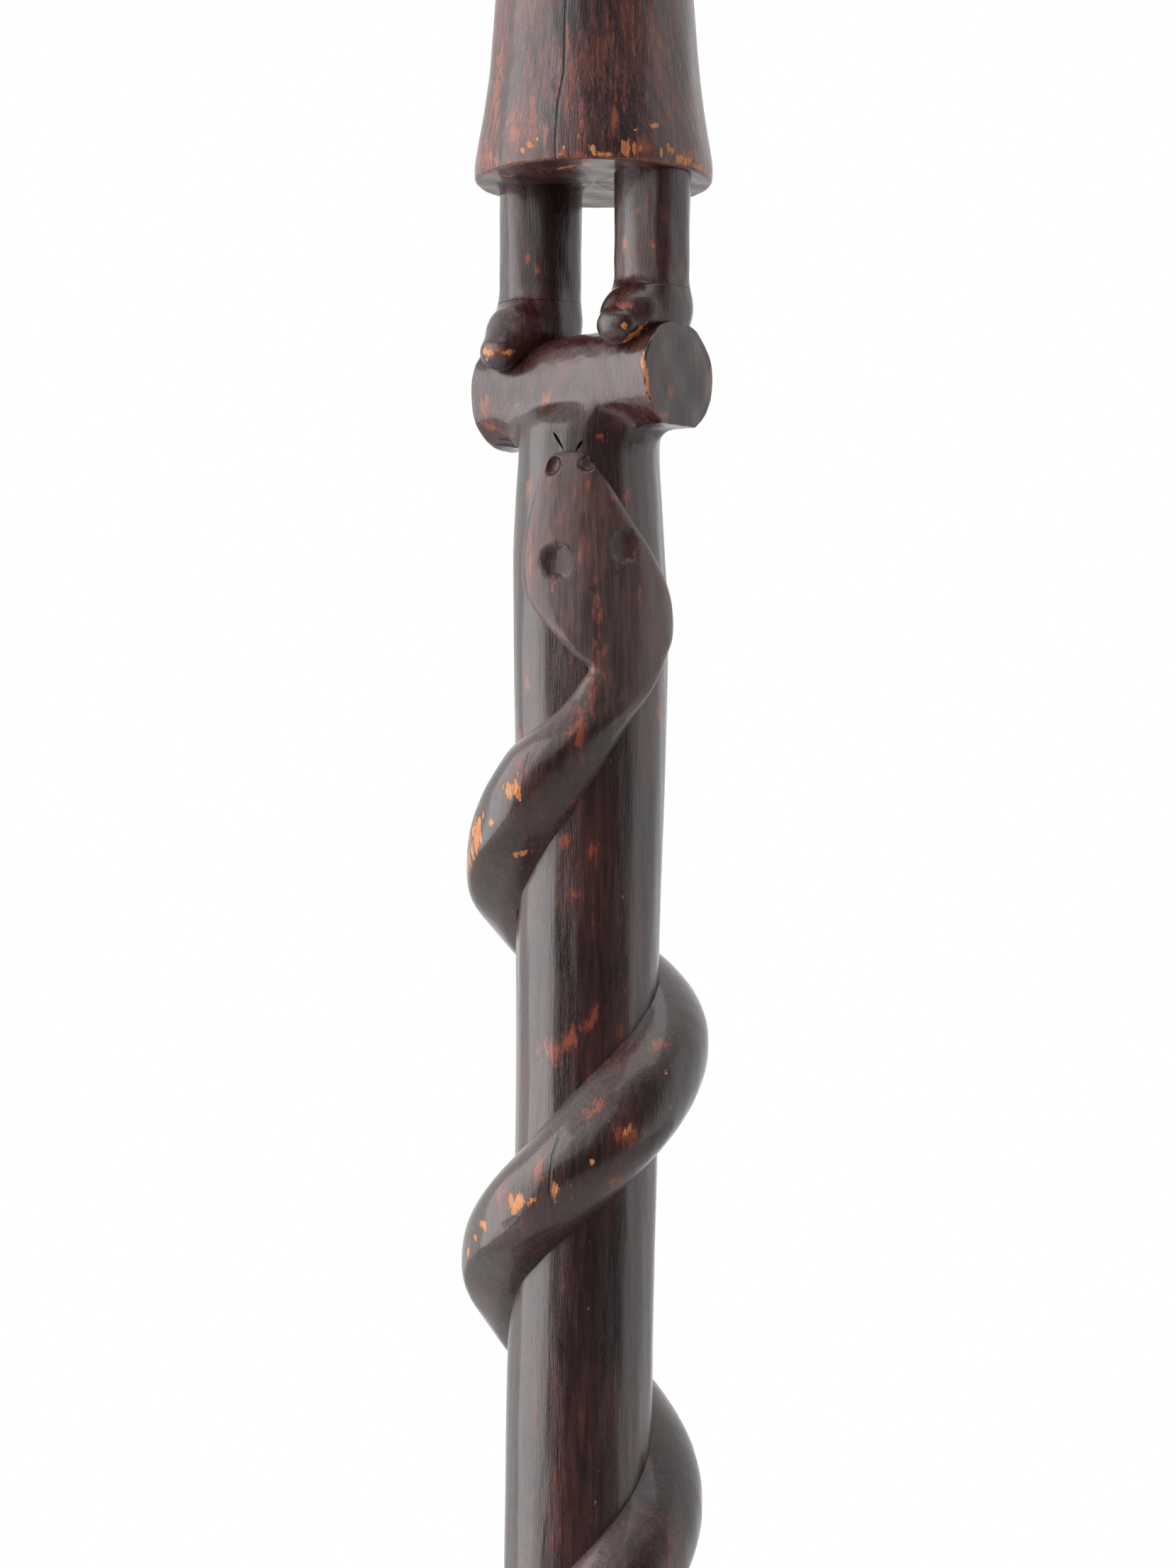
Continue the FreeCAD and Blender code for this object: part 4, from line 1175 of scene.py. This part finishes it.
    def build(self) -> None:
        """Make the head, the neck, the two coils and the tail."""
        for name, node, first, last, steps in self.runs:
            piece = Bench.bar(name, self.across + self.root, steps, self.surface(first, last))
            # The head's polish goes dull and takes a lighter grey painted sheen, rising between the dull
            # levels.
            Bench.store(piece, "matt_and_sheen", ease(Bench.places(piece)[:, 2], *self.dull))
            Bench.finish(piece, node, SNAKE_WOOD, self.marks, self.cracks)


@dataclass(frozen=True)
class Limb:
    """One leg and its foot, in the figure's frame.

    Attributes:
        side: the figure's own side.
        place: where it stands along the log.
        radius: the leg's radius.
        droop: how far the toes hang below the ankle.
        length: the foot's length as a share of the longer foot's.
        set_back: how far the leg stands behind the log's axis.
        sole: the level of the foot's middle line at the heel.
        flatness: how much the foot is wider than it is high.
        welt: the radius of the hollow between leg and foot.
        spine: rows of (way ahead, share of the droop, thickness) along the foot.
        shin: level and what the leg is thicker there.
    """

    side: str
    place: float
    radius: float
    droop: float
    length: float
    set_back: float = 0.7
    sole: float = 739.8
    flatness: float = 0.82
    welt: float = 2.8
    spine: tuple = ((-2.0, 0.0, 5.2), (2.5, 0.0, 5.6), (6.8, 0.32, 5.0), (11.4, 0.92, 3.5))
    shin: tuple = ((735.0, -0.6), (742.6, -0.35), (745.0, -0.2), (748.0, -0.1), (754.0, -0.1), (760.0, 0.0),
                   (766.0, 0.1), (768.0, 0.2))

    def distance(self, points: Points) -> Points:
        """Return the distance to the leg and the foot grown together."""
        own = points - (self.place, self.set_back, 0.0)
        x, y, level = own.T
        angle = np.arctan2(x, -y)
        girth = self.radius + through(level, self.shin)[:, 0] + 0.11 * np.cos(7 * angle + 0.05 * level)
        leg = np.hypot(x, y) - girth - 0.15 * np.cos(3 * angle + 1.1 + self.place)
        foot = np.full(len(own), FAR)
        knots = [np.array((0.0, -ahead * self.length, self.sole - self.droop * fall, size))
                 for ahead, fall, size in self.spine]
        for first, last in zip(knots[:-1], knots[1:]):
            line = last[:3] - first[:3]
            share = np.clip((own - first[:3]) @ line / (line @ line), 0, 1)
            away = (own - first[:3] - share[:, None] * line) * (self.flatness, 1.0, 1.0)
            size = first[3] + (last[3] - first[3]) * share
            foot = blend(foot, np.linalg.norm(away, axis=1) - size, 1.2)
        return blend(leg, foot, self.welt) - unevenness(points * 0.9, 0.1)


@dataclass
class Legs:
    """The two legs with their feet.

    Attributes:
        limbs: the two legs.
        ankle: the level where foot and leg meet.
        heel: the lowest level of a foot.
        hem: the level up to which a leg goes into the robe.
    """

    limbs: tuple = (Limb("left", 14.6, 7.1, 4.5, 0.9), Limb("right", -13.25, 7.95, 7.3, 1.0))
    ankle: float = 743.4
    heel: float = 728.3
    hem: float = 767.5
    marks: tuple = (*marked(MarkKind.RUB, (758, 382, 20, 12, 25), (744, 365, 8, 20), (738, 345, 6, 16),
            (898, 300, 10, 20), (882, 345, 10, 24), (921, 345, 8, 14), (958, 378, 14, 26),
            (891, 372, 8, 18, -20), (703, 495, 44, 20, 10), (882, 430, 42, 14, -10)),
        *marked(MarkKind.CHIP, (691, 497, 15, 10, 10), (715, 497, 18, 8, -5), (688, 508, 5, 5),
            (878.5, 459, 13, 9), (894, 473, 34, 10, -35)))

    def leg(self, limb: Limb) -> Shape:
        """Return the shape of a leg from the ankle up into the robe."""
        def shape(turn: Points, along: Points) -> Points:
            """Give the leg's surface with its long knife facets."""
            start = joined(limb.place, limb.set_back, self.ankle + (self.hem - self.ankle) * along)
            way = around(turn * FULL_TURN)
            return start + way * reach_out(start, way, limb.distance, 16.0)[:, None]

        return shape

    def foot(self, limb: Limb) -> Shape:
        """Return the shape of a foot, a blunt mitten that droops over the log."""
        def sunk(points: Points) -> Points:
            """Return the distance to the limb, a little deeper where the leg covers the foot."""
            return limb.distance(points) + 0.06 * ease(points[:, 2], self.ankle - 0.3, self.ankle)

        def shape(turn: Points, along: Points) -> Points:
            """Give the foot's surface round its middle, flat where the leg stands on it."""
            tilt = math.pi * (0.01 + 0.98 * along)
            way = around(turn * FULL_TURN, np.sin(tilt), -np.cos(tilt))
            start = np.broadcast_to((limb.place, limb.set_back - 3.0, limb.sole), way.shape)
            reach = np.minimum(reach_out(start, way, sunk, 20.0), down_to(way, self.ankle + 0.3 - limb.sole))
            return start + way * np.minimum(reach, down_to(way, self.heel - limb.sole))[:, None]

        return shape

    def build(self) -> None:
        """Make both legs and feet."""
        for limb in self.limbs:
            parts = (("leg", 120, 11, self.leg(limb)), ("foot", 160, 12, self.foot(limb)))
            for part, sides, steps, shape in parts:
                node = f"{limb.side}_{part}"
                piece = Bench.to_stick(Bench.bar(node + "_wood", sides, steps, shape))
                Bench.finish(piece, node, LEG_WOOD, self.marks)


@dataclass
class Robe:
    """The flared robe, in the figure's frame.

    Attributes:
        girths: level and radius.
        hem, low, top: the levels of its underside, of the hem's upper edge and of its top.
        girth, edge: the hem's radius and its rounding.
        under, lip, crown: the shares of the bar that make the underside, the hem's edge and the side.
        shift: how far the figure stands to the right of the staff.
    """

    girths: tuple = ((766.0, 22.45), (767.7, 22.5), (770.4, 22.2), (773.1, 21.7), (778.5, 20.8),
                     (786.6, 19.8), (800.0, 18.75), (811.0, 17.9), (821.4, 17.2))
    hem: float = 764.9
    low: float = 766.3
    top: float = 821.4
    girth: float = 22.45
    edge: float = 0.8
    under: float = 0.16
    lip: float = 0.24
    crown: float = 0.94
    shift: float = 0.6
    marks: tuple = (*marked(MarkKind.CHIP, (833.5, 211, 9, 18), (850.5, 217, 22, 6), (880, 212, 13, 22, 20),
            (893, 208, 6, 16), (904, 208, 8, 13), (932, 214, 5, 15), (946, 212, 10, 22, -20),
            (964, 225, 30, 13, 20), (986, 236, 34, 10, 28), (746.5, 203.5, 9, 9, 30), (788.5, 217, 6, 6),
            (804, 214.5, 6, 12, 20), (795, 207.5, 4, 9), (818, 193, 4, 10), (828, 206, 2.5, 18),
            (712, 220.5, 4, 10), (691, 222, 3, 18), (737, 212, 5, 7), (925, 177, 12, 7),
            (897, 182, 9, 3, -20), (826, 232, 30, 4, -3), (800, 236, 26, 4, -8), (716, 248, 16, 3, -4),
            (758, 196, 5, 8)),
        *marked(MarkKind.RUB, (700, 150, 18, 150, 6), (728, 190, 22, 60), (770, 190, 10, 40),
            (752, 160, 16, 90), (705, 90, 14, 120, 4), (820, 170, 12, 60), (868, 165, 10, 70),
            (800, 60, 12, 80), (975, 160, 10, 90, -5), (930, 60, 14, 90), (690, 225, 44, 50, -20),
            (978, 222, 70, 26, 26), (800, 214, 60, 26), (900, 206, 70, 24, 4)))
    cracks: tuple = (Crack(0.32, ((800, -30), (799, 0), (796, 102), (788, 143), (784, 199), (785, 224))),)

    def shape(self, turn: Points, along: Points) -> Points:
        """Give the robe's surface: its underside, its hem, its side and its top."""
        angle = turn * FULL_TURN
        side = np.clip((along - self.lip) / (self.crown - self.lip), 0, 1)
        level = self.low + (self.top - self.low) * side
        reach = through(level, self.girths)[:, 0]
        corner = np.clip((along - self.under) / (self.lip - self.under), 0, 1) * math.pi / 2
        reach = np.where(along < self.lip, self.girth - self.edge * (1 - np.sin(corner)), reach)
        level = np.where(along < self.lip, self.hem + self.edge * (1 - np.cos(corner)), level)
        disc = np.clip(along / self.under, 0, 1)
        reach = np.where(along < self.under, (self.girth - self.edge) * disc, reach)
        hollow = 0.25 * (1 - disc ** 2) + 0.10 * np.sin(reach * 0.9 * np.sin(angle) + 1) * np.sin(3 * disc)
        hollow = hollow + 0.16 * np.abs(np.sin(4.5 * angle + 1.5 * disc)) * np.sin(math.pi * disc) ** 0.5
        level = np.where(along < self.under, self.hem + hollow, level)
        reach = reach * np.clip((1.0 - along) / (1.0 - self.crown), 0, 1)
        facets = 0.10 * np.cos(11 * angle + 0.6) + 0.08 * np.cos(5 * angle + 0.03 * level)
        side = ease(along, self.under, self.lip) * (1 - ease(along, self.crown - 0.02, self.crown))
        return around(angle, reach + facets * side, level, self.shift)

    def build(self) -> None:
        """Make the robe."""
        piece = Bench.bar("robe_wood", 220, 16, self.shape)
        Bench.carve(piece)
        # The underside's polish goes dull and takes a faint lighter grey painted sheen.
        Bench.store(piece, "matt_and_sheen", 0.3 * ease(-Bench.outward(piece)[:, 2], 0.5, 0.9))
        Bench.finish(Bench.to_stick(piece), "robe", ROBE_WOOD, self.marks, self.cracks)


@dataclass
class UpperBody:
    """Belt, torso, arms and hands, in the figure's frame.

    Attributes:
        shift: how far the figure stands to the right of the staff.
        foot, top: the levels of the torso's foot and top.
        belt_girth, belt_half: the radius of the belt's middle line and the roll's radius.
        sections: level, half width and half depth of the torso.
        neckline: the level where the robe's two edges cross, and their slope.
        sleeve: rows of (share, x, y, z, half width, half height) from the shoulder to the cuff.
        belly, cuff, wrist: how far before the axis, at what level and how far aside a hand starts.
        reaches: share of the hand's length, and how far aside it has come.
        fingers: each finger's place in the hand and its length.
        thumb: rows of (share, aside, ahead, level, rise on this side, half width, half height).
    """

    shift: float = 0.6
    foot: float = 821.4
    top: float = 865.4
    belt_girth: float = 15.8
    belt_half: float = 2.3
    sections: tuple = ((821.4, 13.4, 13.4), (826.3, 15.3, 14.8), (831.0, 16.3, 14.2), (837.3, 17.2, 13.5),
                       (846.7, 18.6, 13.0), (853.7, 18.3, 12.1), (858.8, 15.0, 10.7), (862.5, 11.3, 9.4),
                       (865.3, 8.5, 8.4))
    neckline: tuple = (846.5, 0.52)
    sleeve: tuple = ((0.0, 12.4, 0.6, 858.6, 3.2, 3.2), (0.08, 14.5, 0.3, 857.2, 4.2, 4.2),
                     (0.16, 16.2, 0.3, 853.4, 5.0, 5.0), (0.3, 17.3, 1.2, 845.0, 5.2, 5.2),
                     (0.46, 18.2, 2.2, 837.2, 5.0, 5.2), (0.56, 18.0, 0.2, 833.8, 4.9, 5.2),
                     (0.68, 15.4, -5.2, 834.2, 4.7, 5.0), (0.84, 11.6, -11.2, 835.7, 4.6, 4.7),
                     (0.96, 9.2, -14.6, 836.7, 4.5, 4.5), (1.0, 8.6, -15.4, 836.9, 4.3, 4.3))
    belly: float = 15.9
    cuff: float = 836.9
    wrist: float = 8.6
    reaches: tuple = ((0.0, 8.6), (0.2, 6.6), (0.45, 4.2), (0.7, 1.9), (1.0, -0.5))
    fingers: tuple = ((2.4, 0.86), (0.85, 1.0), (-0.75, 0.96), (-2.2, 0.8))
    thumb: tuple = ((0.0, 7.6, 0.0, 838.4, 0.4, 1.4, 1.3), (0.5, 5.8, 0.6, 840.2, 0.6, 1.35, 1.15),
                    (1.0, 3.9, 0.8, 841.1, 0.9, 1.0, 0.85))

    def belt(self, turn: Points, along: Points) -> Points:
        """Give the belt, a roll of twisted cloth."""
        angle, ring = turn * FULL_TURN, along * FULL_TURN
        half = self.belt_half + 0.28 * np.abs(np.sin(7 * angle + ring)) ** 0.7
        level = self.foot + 2.5 - half * 1.02 * np.sin(ring)
        return around(angle, self.belt_girth - (half - 0.1) * np.cos(ring), level, self.shift)

    def torso(self, turn: Points, along: Points) -> Points:
        """Give the torso with the crossed edges of its robe."""
        angle, level = turn * FULL_TURN, self.foot + (self.top - self.foot) * along
        half = through(level, self.sections)
        places = joined(half[:, 0] * np.sin(angle), -half[:, 1] * np.cos(angle), level)
        front = ease(np.cos(angle), 0.15, 0.5)
        cross, slope = self.neckline
        over, under = places[:, 0] - slope * (level - cross), places[:, 0] + slope * (level - cross)
        shown = ease(level, cross - 0.5, cross + 1)
        cut = 0.5 * np.maximum(ridge(over, 0.6), ridge(under, 0.6) * shown) * front
        folds = 0.22 * np.cos(9 * angle + 0.02 * (level - 826) ** 2) * (1 - ease(level, 833, 848))
        change = (0.35 * ridge(over - 1.7, 1.0) * front - cut + folds) * ease(level, 827, 830)
        change = change * (1 - ease(level, 861.5, 864))
        return places + (self.shift, 0, 0) + around(angle) * change[:, None]

    def arm(self, side: str, sign: int) -> None:
        """Make one sleeve from the shoulder round the elbow to a cuff.

        Args:
            side: the figure's own side.
            sign: 1 on the left and -1 on the right.
        """
        knots = [(share, self.shift + sign * aside, *rest) for share, aside, *rest in self.sleeve]
        piece = Bench.limb(side + "_arm_wood", 80, 12, knots, (0.3 * sign, 0.9, 0.35))
        places = Bench.places(piece)
        fold = np.sin(1.15 * places[:, 2] + 0.5 * places[:, 1] + sign) * ease(places[:, 2], 846, 838)
        Bench.move(piece, places + Bench.outward(piece) * (0.16 * fold)[:, None])
        Bench.carve(piece)
        Bench.finish(Bench.to_stick(piece), side + "_arm", BODY_WOOD)

    def hand(self, side: str, sign: int) -> None:
        """Make one hand, flat on the belly, with its fingers parted by knife cuts.

        Args:
            side: the figure's own side.
            sign: 1 on the left and -1 on the right.
        """
        def knot(share: float, aside: float, sag: float, above: float, *size: float) -> tuple[float, ...]:
            """Return a knot of a finger or the palm at a place aside."""
            gone = self.wrist - aside
            return (share, self.shift + sign * aside, -self.belly - sag * gone,
                    self.cuff + 3.6 * sign * gone / 9.1 + above, *size)

        palm = [knot(share / 0.45, aside, 0.05, 0.0, 2.0, 3.0) for share, aside in self.reaches[:3]]
        pieces = [Bench.limb("palm", 40, 6, palm)]
        for place, length in self.fingers:
            finger = [knot((share - 0.2) / 0.8, self.wrist - (self.wrist - aside) * length, 0.06,
                           place * (0.9 + 0.1 * share), 1.35, 0.95) for share, aside in self.reaches[1:]]
            pieces.append(Bench.limb("finger", 24, 5, finger))
        thumb = [(share, self.shift + sign * aside, -self.belly - ahead, level + sign * rise, *size)
                 for share, aside, ahead, level, rise, *size in self.thumb]
        pieces.append(Bench.limb("thumb", 24, 5, thumb))
        piece = Bench.join(side + "_hand_wood", pieces)
        Bench.modifier(piece, "REMESH", mode="VOXEL", voxel_size=0.16, adaptivity=0.0)
        Bench.modifier(piece, "SMOOTH", factor=0.5, iterations=2)
        Bench.finish(Bench.to_stick(piece), side + "_hand", BODY_WOOD)

    def build(self) -> None:
        """Make the belt, the torso, both arms and both hands."""
        belt = Bench.bar("belt_wood", 220, 7, self.belt)
        Bench.ring(belt, 5.0)
        Bench.finish(Bench.to_stick(belt), "belt", BODY_WOOD)
        torso = Bench.bar("torso_wood", 300, 15, self.torso)
        Bench.carve(torso)
        Bench.finish(Bench.to_stick(torso), "torso", BODY_WOOD)
        for side, sign in (("left", 1), ("right", -1)):
            self.arm(side, sign)
            self.hand(side, sign)


@dataclass
class Head:
    """The head with a calm, plain face, and its close hair, in the figure's frame.

    Attributes:
        shift: how far the figure stands to the right of the staff.
        chin: the chin's level.
        width, depth, height: half width, half depth and height of the skull.
        sections: share of the height, shares of width and depth, and how far it lies ahead.
        features: rows of (height, x, z, half width, half height) for the soft forms of the face: brow and
            its middle, eye socket and its corner, eye, wing of the nose, cheek, chin, mouth, both lips,
            the hollow below them and the groove above them.
        hair_depth: how thick the hair is.
        hairline: the level of its lower edge above the chin, and its slope to the nape.
    """

    shift: float = 0.6
    chin: float = 869.9
    width: float = 11.7
    depth: float = 13.2
    height: float = 28.2
    sections: tuple = ((0.0, 0.50, 0.46, 0.02), (0.055, 0.66, 0.70, 0.07), (0.17, 0.84, 0.86, 0.05),
                       (0.34, 0.95, 0.95, 0.02), (0.54, 1.0, 1.0, -0.01), (0.74, 0.97, 0.98, -0.03),
                       (0.90, 0.76, 0.80, -0.03), (0.975, 0.44, 0.48, -0.03), (1.0, 0.10, 0.12, -0.03))
    features: tuple = ((0.7, 4.4, 17.1, 3.4, 0.9), (0.4, 0, 16.8, 2.0, 1.3), (-1.1, 4.5, 14.4, 2.9, 1.7),
                       (-0.5, 2.0, 14.8, 0.9, 1.3), (0.95, 4.6, 14.2, 1.9, 1.05), (0.75, 1.8, 9.5, 0.8, 0.8),
                       (0.55, 6.6, 10.4, 2.6, 2.6), (0.8, 0, 2.3, 3.2, 2.0), (0.45, 0, 6.2, 4.2, 2.2),
                       (0.5, 0.9, 6.85, 2.0, 0.55), (0.55, 0, 5.3, 2.1, 0.6), (-0.35, 0, 4.0, 2.4, 0.6),
                       (-0.25, 0, 8.0, 0.55, 0.7))
    hair_depth: float = 1.3
    hairline: tuple = (14.1, math.radians(39))

    def skull(self, turn: Points, along: Points) -> tuple[Points, Points]:
        """Return the skull's surface above the chin, and its outward direction."""
        angle = turn * FULL_TURN - 0.4 * np.sin(turn * FULL_TURN)
        tilt = math.pi * along
        share = (1 - np.cos(tilt)) / 2
        wide, deep, ahead = through(share, self.sections).T
        places = joined(self.width * wide * np.sin(angle), -self.depth * (deep * np.cos(angle) + 2 * ahead),
                        self.height * share)
        outward = around(angle, np.sin(tilt), -np.cos(tilt))
        return places, outward / np.linalg.norm(outward, axis=1)[:, None]

    def face(self, places: Points) -> Points:
        """Return how far the face stands out from the plain skull at each place."""
        x, z = np.abs(places[:, 0]), places[:, 2]
        lift = sum(rise * hill(x, z, (across, level), *size) for rise, across, level, *size in self.features)
        lid = 14.3 + 0.35 * np.cos((x - 4.6) * 0.8)
        width = ease(2.4 - np.abs(x - 4.6), 0, 0.6)
        lift -= (0.34 * ridge(z - lid - 0.4, 0.22) + 0.22 * ridge(z - 28.4 + lid + 0.35, 0.22)) * width
        fall = np.clip((16.2 - z) / 6.9, 0, 1)
        nose = (0.5 + 1.9 * fall ** 1.2) * ridge(x / (0.9 + 0.75 * fall), 1.0)
        lift += nose * ease(z, 8.2, 9.3) * (1 - ease(z, 15.8, 17.6))
        lift -= 0.5 * ridge(z - 6.1 - 0.015 * x ** 2, 0.26) * (1 - ease(x, 2.5, 3.5))
        return lift * (places[:, 1] < 0)

    def head(self, turn: Points, along: Points) -> Points:
        """Give the head's surface with its face."""
        places, outward = self.skull(turn, along)
        return places + outward * (0.5, 1, 0) * self.face(places)[:, None] + (self.shift, 0, self.chin)

    def hair(self, turn: Points, along: Points) -> Points:
        """Give the hair: furrowed above a line from the forehead to the nape, sunk below it."""
        places, outward = self.skull(turn, along)
        x, y, z = places.T
        start, slope = self.hairline
        line = (z - start) * math.cos(slope) + y * math.sin(slope) + 0.35 * np.sin(x * 0.9)
        strand = np.arctan2(x, y - 3.0) * 26 + 1.4 * np.sin(z * 0.35)
        furrow = 0.16 * np.sin(strand) * ease(line, 0.3, 2.0) * (1 - ease(z, 25.5, 28.0))
        lift = (self.hair_depth - 0.1) * ease(line, -0.1, 1.1) - 0.9 * (1 - ease(line, -0.6, 0.1))
        return places + outward * (lift + furrow)[:, None] + (self.shift, 0, self.chin)

    def ear(self, sign: int) -> Piece:
        """Make one ear with its rim and hollow, on the left for 1 and on the right for -1."""
        def shape(turn: Points, along: Points) -> Points:
            """Give a leaf that leans back against the skull."""
            angle, tip = turn * FULL_TURN, math.pi * along
            high, girth = -3.2 * np.cos(tip), np.sin(tip) ** 0.8
            deep = 2.0 * girth * np.cos(angle) * (1 - 0.12 * np.cos(tip))
            thick = 1.15 * girth * np.sin(angle)
            dish = 0.75 * hill(deep, high, (0.2, 0.5), 0.9, 1.6) * (thick > 0) * ease(np.sin(tip), 0.01, 0.3)
            return joined(sign * (self.width - 0.1 + thick - dish) + self.shift, 0.6 + deep + 0.15 * high,
                          self.chin + 13.0 + high)

        return Bench.bar("ear", 48, 6, shape)

    def neck(self, turn: Points, along: Points) -> Points:
        """Give the neck from inside the collar to inside the skull."""
        angle, level = turn * FULL_TURN, 863.0 + 13.5 * along
        reach = 8.2 - 0.7 * ease(level, 865, 870)
        return joined(self.shift + reach * np.sin(angle), 0.6 - reach * 0.98 * np.cos(angle), level)

    def build(self) -> None:
        """Make the head and the hair."""
        parts = [Bench.bar("skull", 290, 16, self.head), Bench.bar("neck", 96, 5, self.neck),
                 self.ear(1), self.ear(-1)]
        Bench.finish(Bench.to_stick(Bench.join("head_wood", parts)), "head", BODY_WOOD)
        Bench.finish(Bench.to_stick(Bench.bar("hair_wood", 280, 15, self.hair)), "hair", BODY_WOOD)


@dataclass
class Studio:
    """The photograph's eye, its soft lamps and its white ground.

    Attributes:
        lamps: name, place, width, height and watts of each lamp; places and sizes in millimetres.
        aim: the highest level that a lamp looks at.
        sensor: the width of the camera's film.
    """

    lamps: tuple = (("left_softbox", (-960, -170, 800), 1100, 1400, 14.7),
                    ("front_panel", (-600, -980, 1240), 900, 1100, 3.8),
                    ("right_softbox", (900, -200, 760), 400, 1300, 1.0),
                    ("top_softbox", (0, -100, 1900), 900, 900, 5.0))
    aim: float = 700.0
    sensor: float = 36.0

    def build(self) -> None:
        """Set up the camera, the lamps, the floor and the world."""
        self.camera()
        for lamp in self.lamps:
            self.lamp(*lamp)
        self.floor()
        self.world()

    def camera(self) -> None:
        """Place the camera at the photograph's eye."""
        data = bpy.data.cameras.new("camera")
        data.sensor_fit, data.sensor_width = "AUTO", self.sensor
        data.lens = self.sensor * PHOTO.focal / PHOTO.height
        data.clip_start, data.clip_end = 0.01, 50
        eye = bpy.data.objects.new("camera", data)
        eye.location = (0, -PHOTO.distance * MM, PHOTO.eye_level * MM)
        eye.rotation_euler = (math.pi / 2, -PHOTO.roll, 0)
        bpy.context.scene.collection.objects.link(eye)
        bpy.context.scene.camera = eye
        bpy.context.scene.view_settings.view_transform = "Standard"

    def lamp(self, name: str, place: Sequence[float], width: float, height: float, power: float) -> None:
        """Hang a soft lamp that looks at the stick.

        Args:
            name: its name.
            place: where it hangs.
            width, height: its size.
            power: its strength in watts.
        """
        data = bpy.data.lights.new(name, "AREA")
        data.shape, data.energy = "RECTANGLE", power
        data.size, data.size_y = width * MM, height * MM
        lamp = bpy.data.objects.new(name, data)
        lamp.location = Vector(place) * MM
        aim = Vector((0, 0, min(place[2], self.aim))) * MM - lamp.location
        lamp.rotation_euler = aim.to_track_quat("-Z", "Y").to_euler()
        bpy.context.scene.collection.objects.link(lamp)

    @staticmethod
    def floor() -> None:
        """Lay the pale floor."""
        bpy.ops.object.select_all(action="DESELECT")
        bpy.ops.mesh.primitive_circle_add(vertices=96, radius=1.3, fill_type="NGON", location=(0, 0, -0.0005))
        floor = bpy.context.object
        floor.name = "floor"
        nodes = Nodes("pale_floor")
        nodes.shade(Base_Color=(0.86, 0.86, 0.86, 1), Roughness=0.9)
        floor.data.materials.append(nodes.material)

    @staticmethod
    def world() -> None:
        """Show a white room behind the stick, dark towards the eye, and light the stick softly all round."""
        world = bpy.data.worlds.new("white_room")
        bpy.context.scene.world = world
        world.use_nodes = True
        nodes, links = world.node_tree.nodes, world.node_tree.links
        rays = nodes.new("ShaderNodeLightPath").outputs

        def greater(first: bpy.types.NodeSocket, second: bpy.types.NodeSocket) -> bpy.types.NodeSocket:
            """Return the greater of two sockets."""
            pick = nodes.new("ShaderNodeMath")
            pick.operation = "MAXIMUM"
            links.new(first, pick.inputs[0])
            links.new(second, pick.inputs[1])
            return pick.outputs[0]

        plain, white = nodes["Background"], nodes.new("ShaderNodeBackground")
        plain.inputs["Color"].default_value = white.inputs["Color"].default_value = (1, 1, 1, 1)
        plain.inputs["Strength"].default_value = 0.3
        way = nodes.new("ShaderNodeSeparateXYZ")
        links.new(nodes.new("ShaderNodeTexCoord").outputs["Generated"], way.inputs[0])
        behind = nodes.new("ShaderNodeMapRange")
        behind.interpolation_type = "SMOOTHSTEP"
        for socket, number in zip(behind.inputs[1:5], (-0.75, 0.15, 0.15, 1.0)):
            socket.default_value = number
        links.new(way.outputs["Y"], behind.inputs["Value"])
        links.new(greater(behind.outputs[0], rays["Is Camera Ray"]), white.inputs["Strength"])
        mix = nodes.new("ShaderNodeMixShader")
        shown = greater(greater(rays["Is Camera Ray"], rays["Is Glossy Ray"]), rays["Is Transmission Ray"])
        for socket, source in zip(mix.inputs, (shown, plain.outputs[0], white.outputs[0])):
            links.new(source, socket)
        links.new(mix.outputs[0], nodes["World Output"].inputs["Surface"])


def main() -> None:
    """Build the stick from the foot up and set up the studio."""
    logging.basicConfig(level=logging.INFO, format="%(message)s")
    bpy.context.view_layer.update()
    crossing = Log()
    staff = Staff(crossing)
    staff.build()
    Ferrule().build()
    Snake(staff).build()
    crossing.build(staff)
    for maker in (Legs(), Robe(), UpperBody(), Head()):
        maker.build()
    Studio().build()


if __name__ == "__main__":
    main()
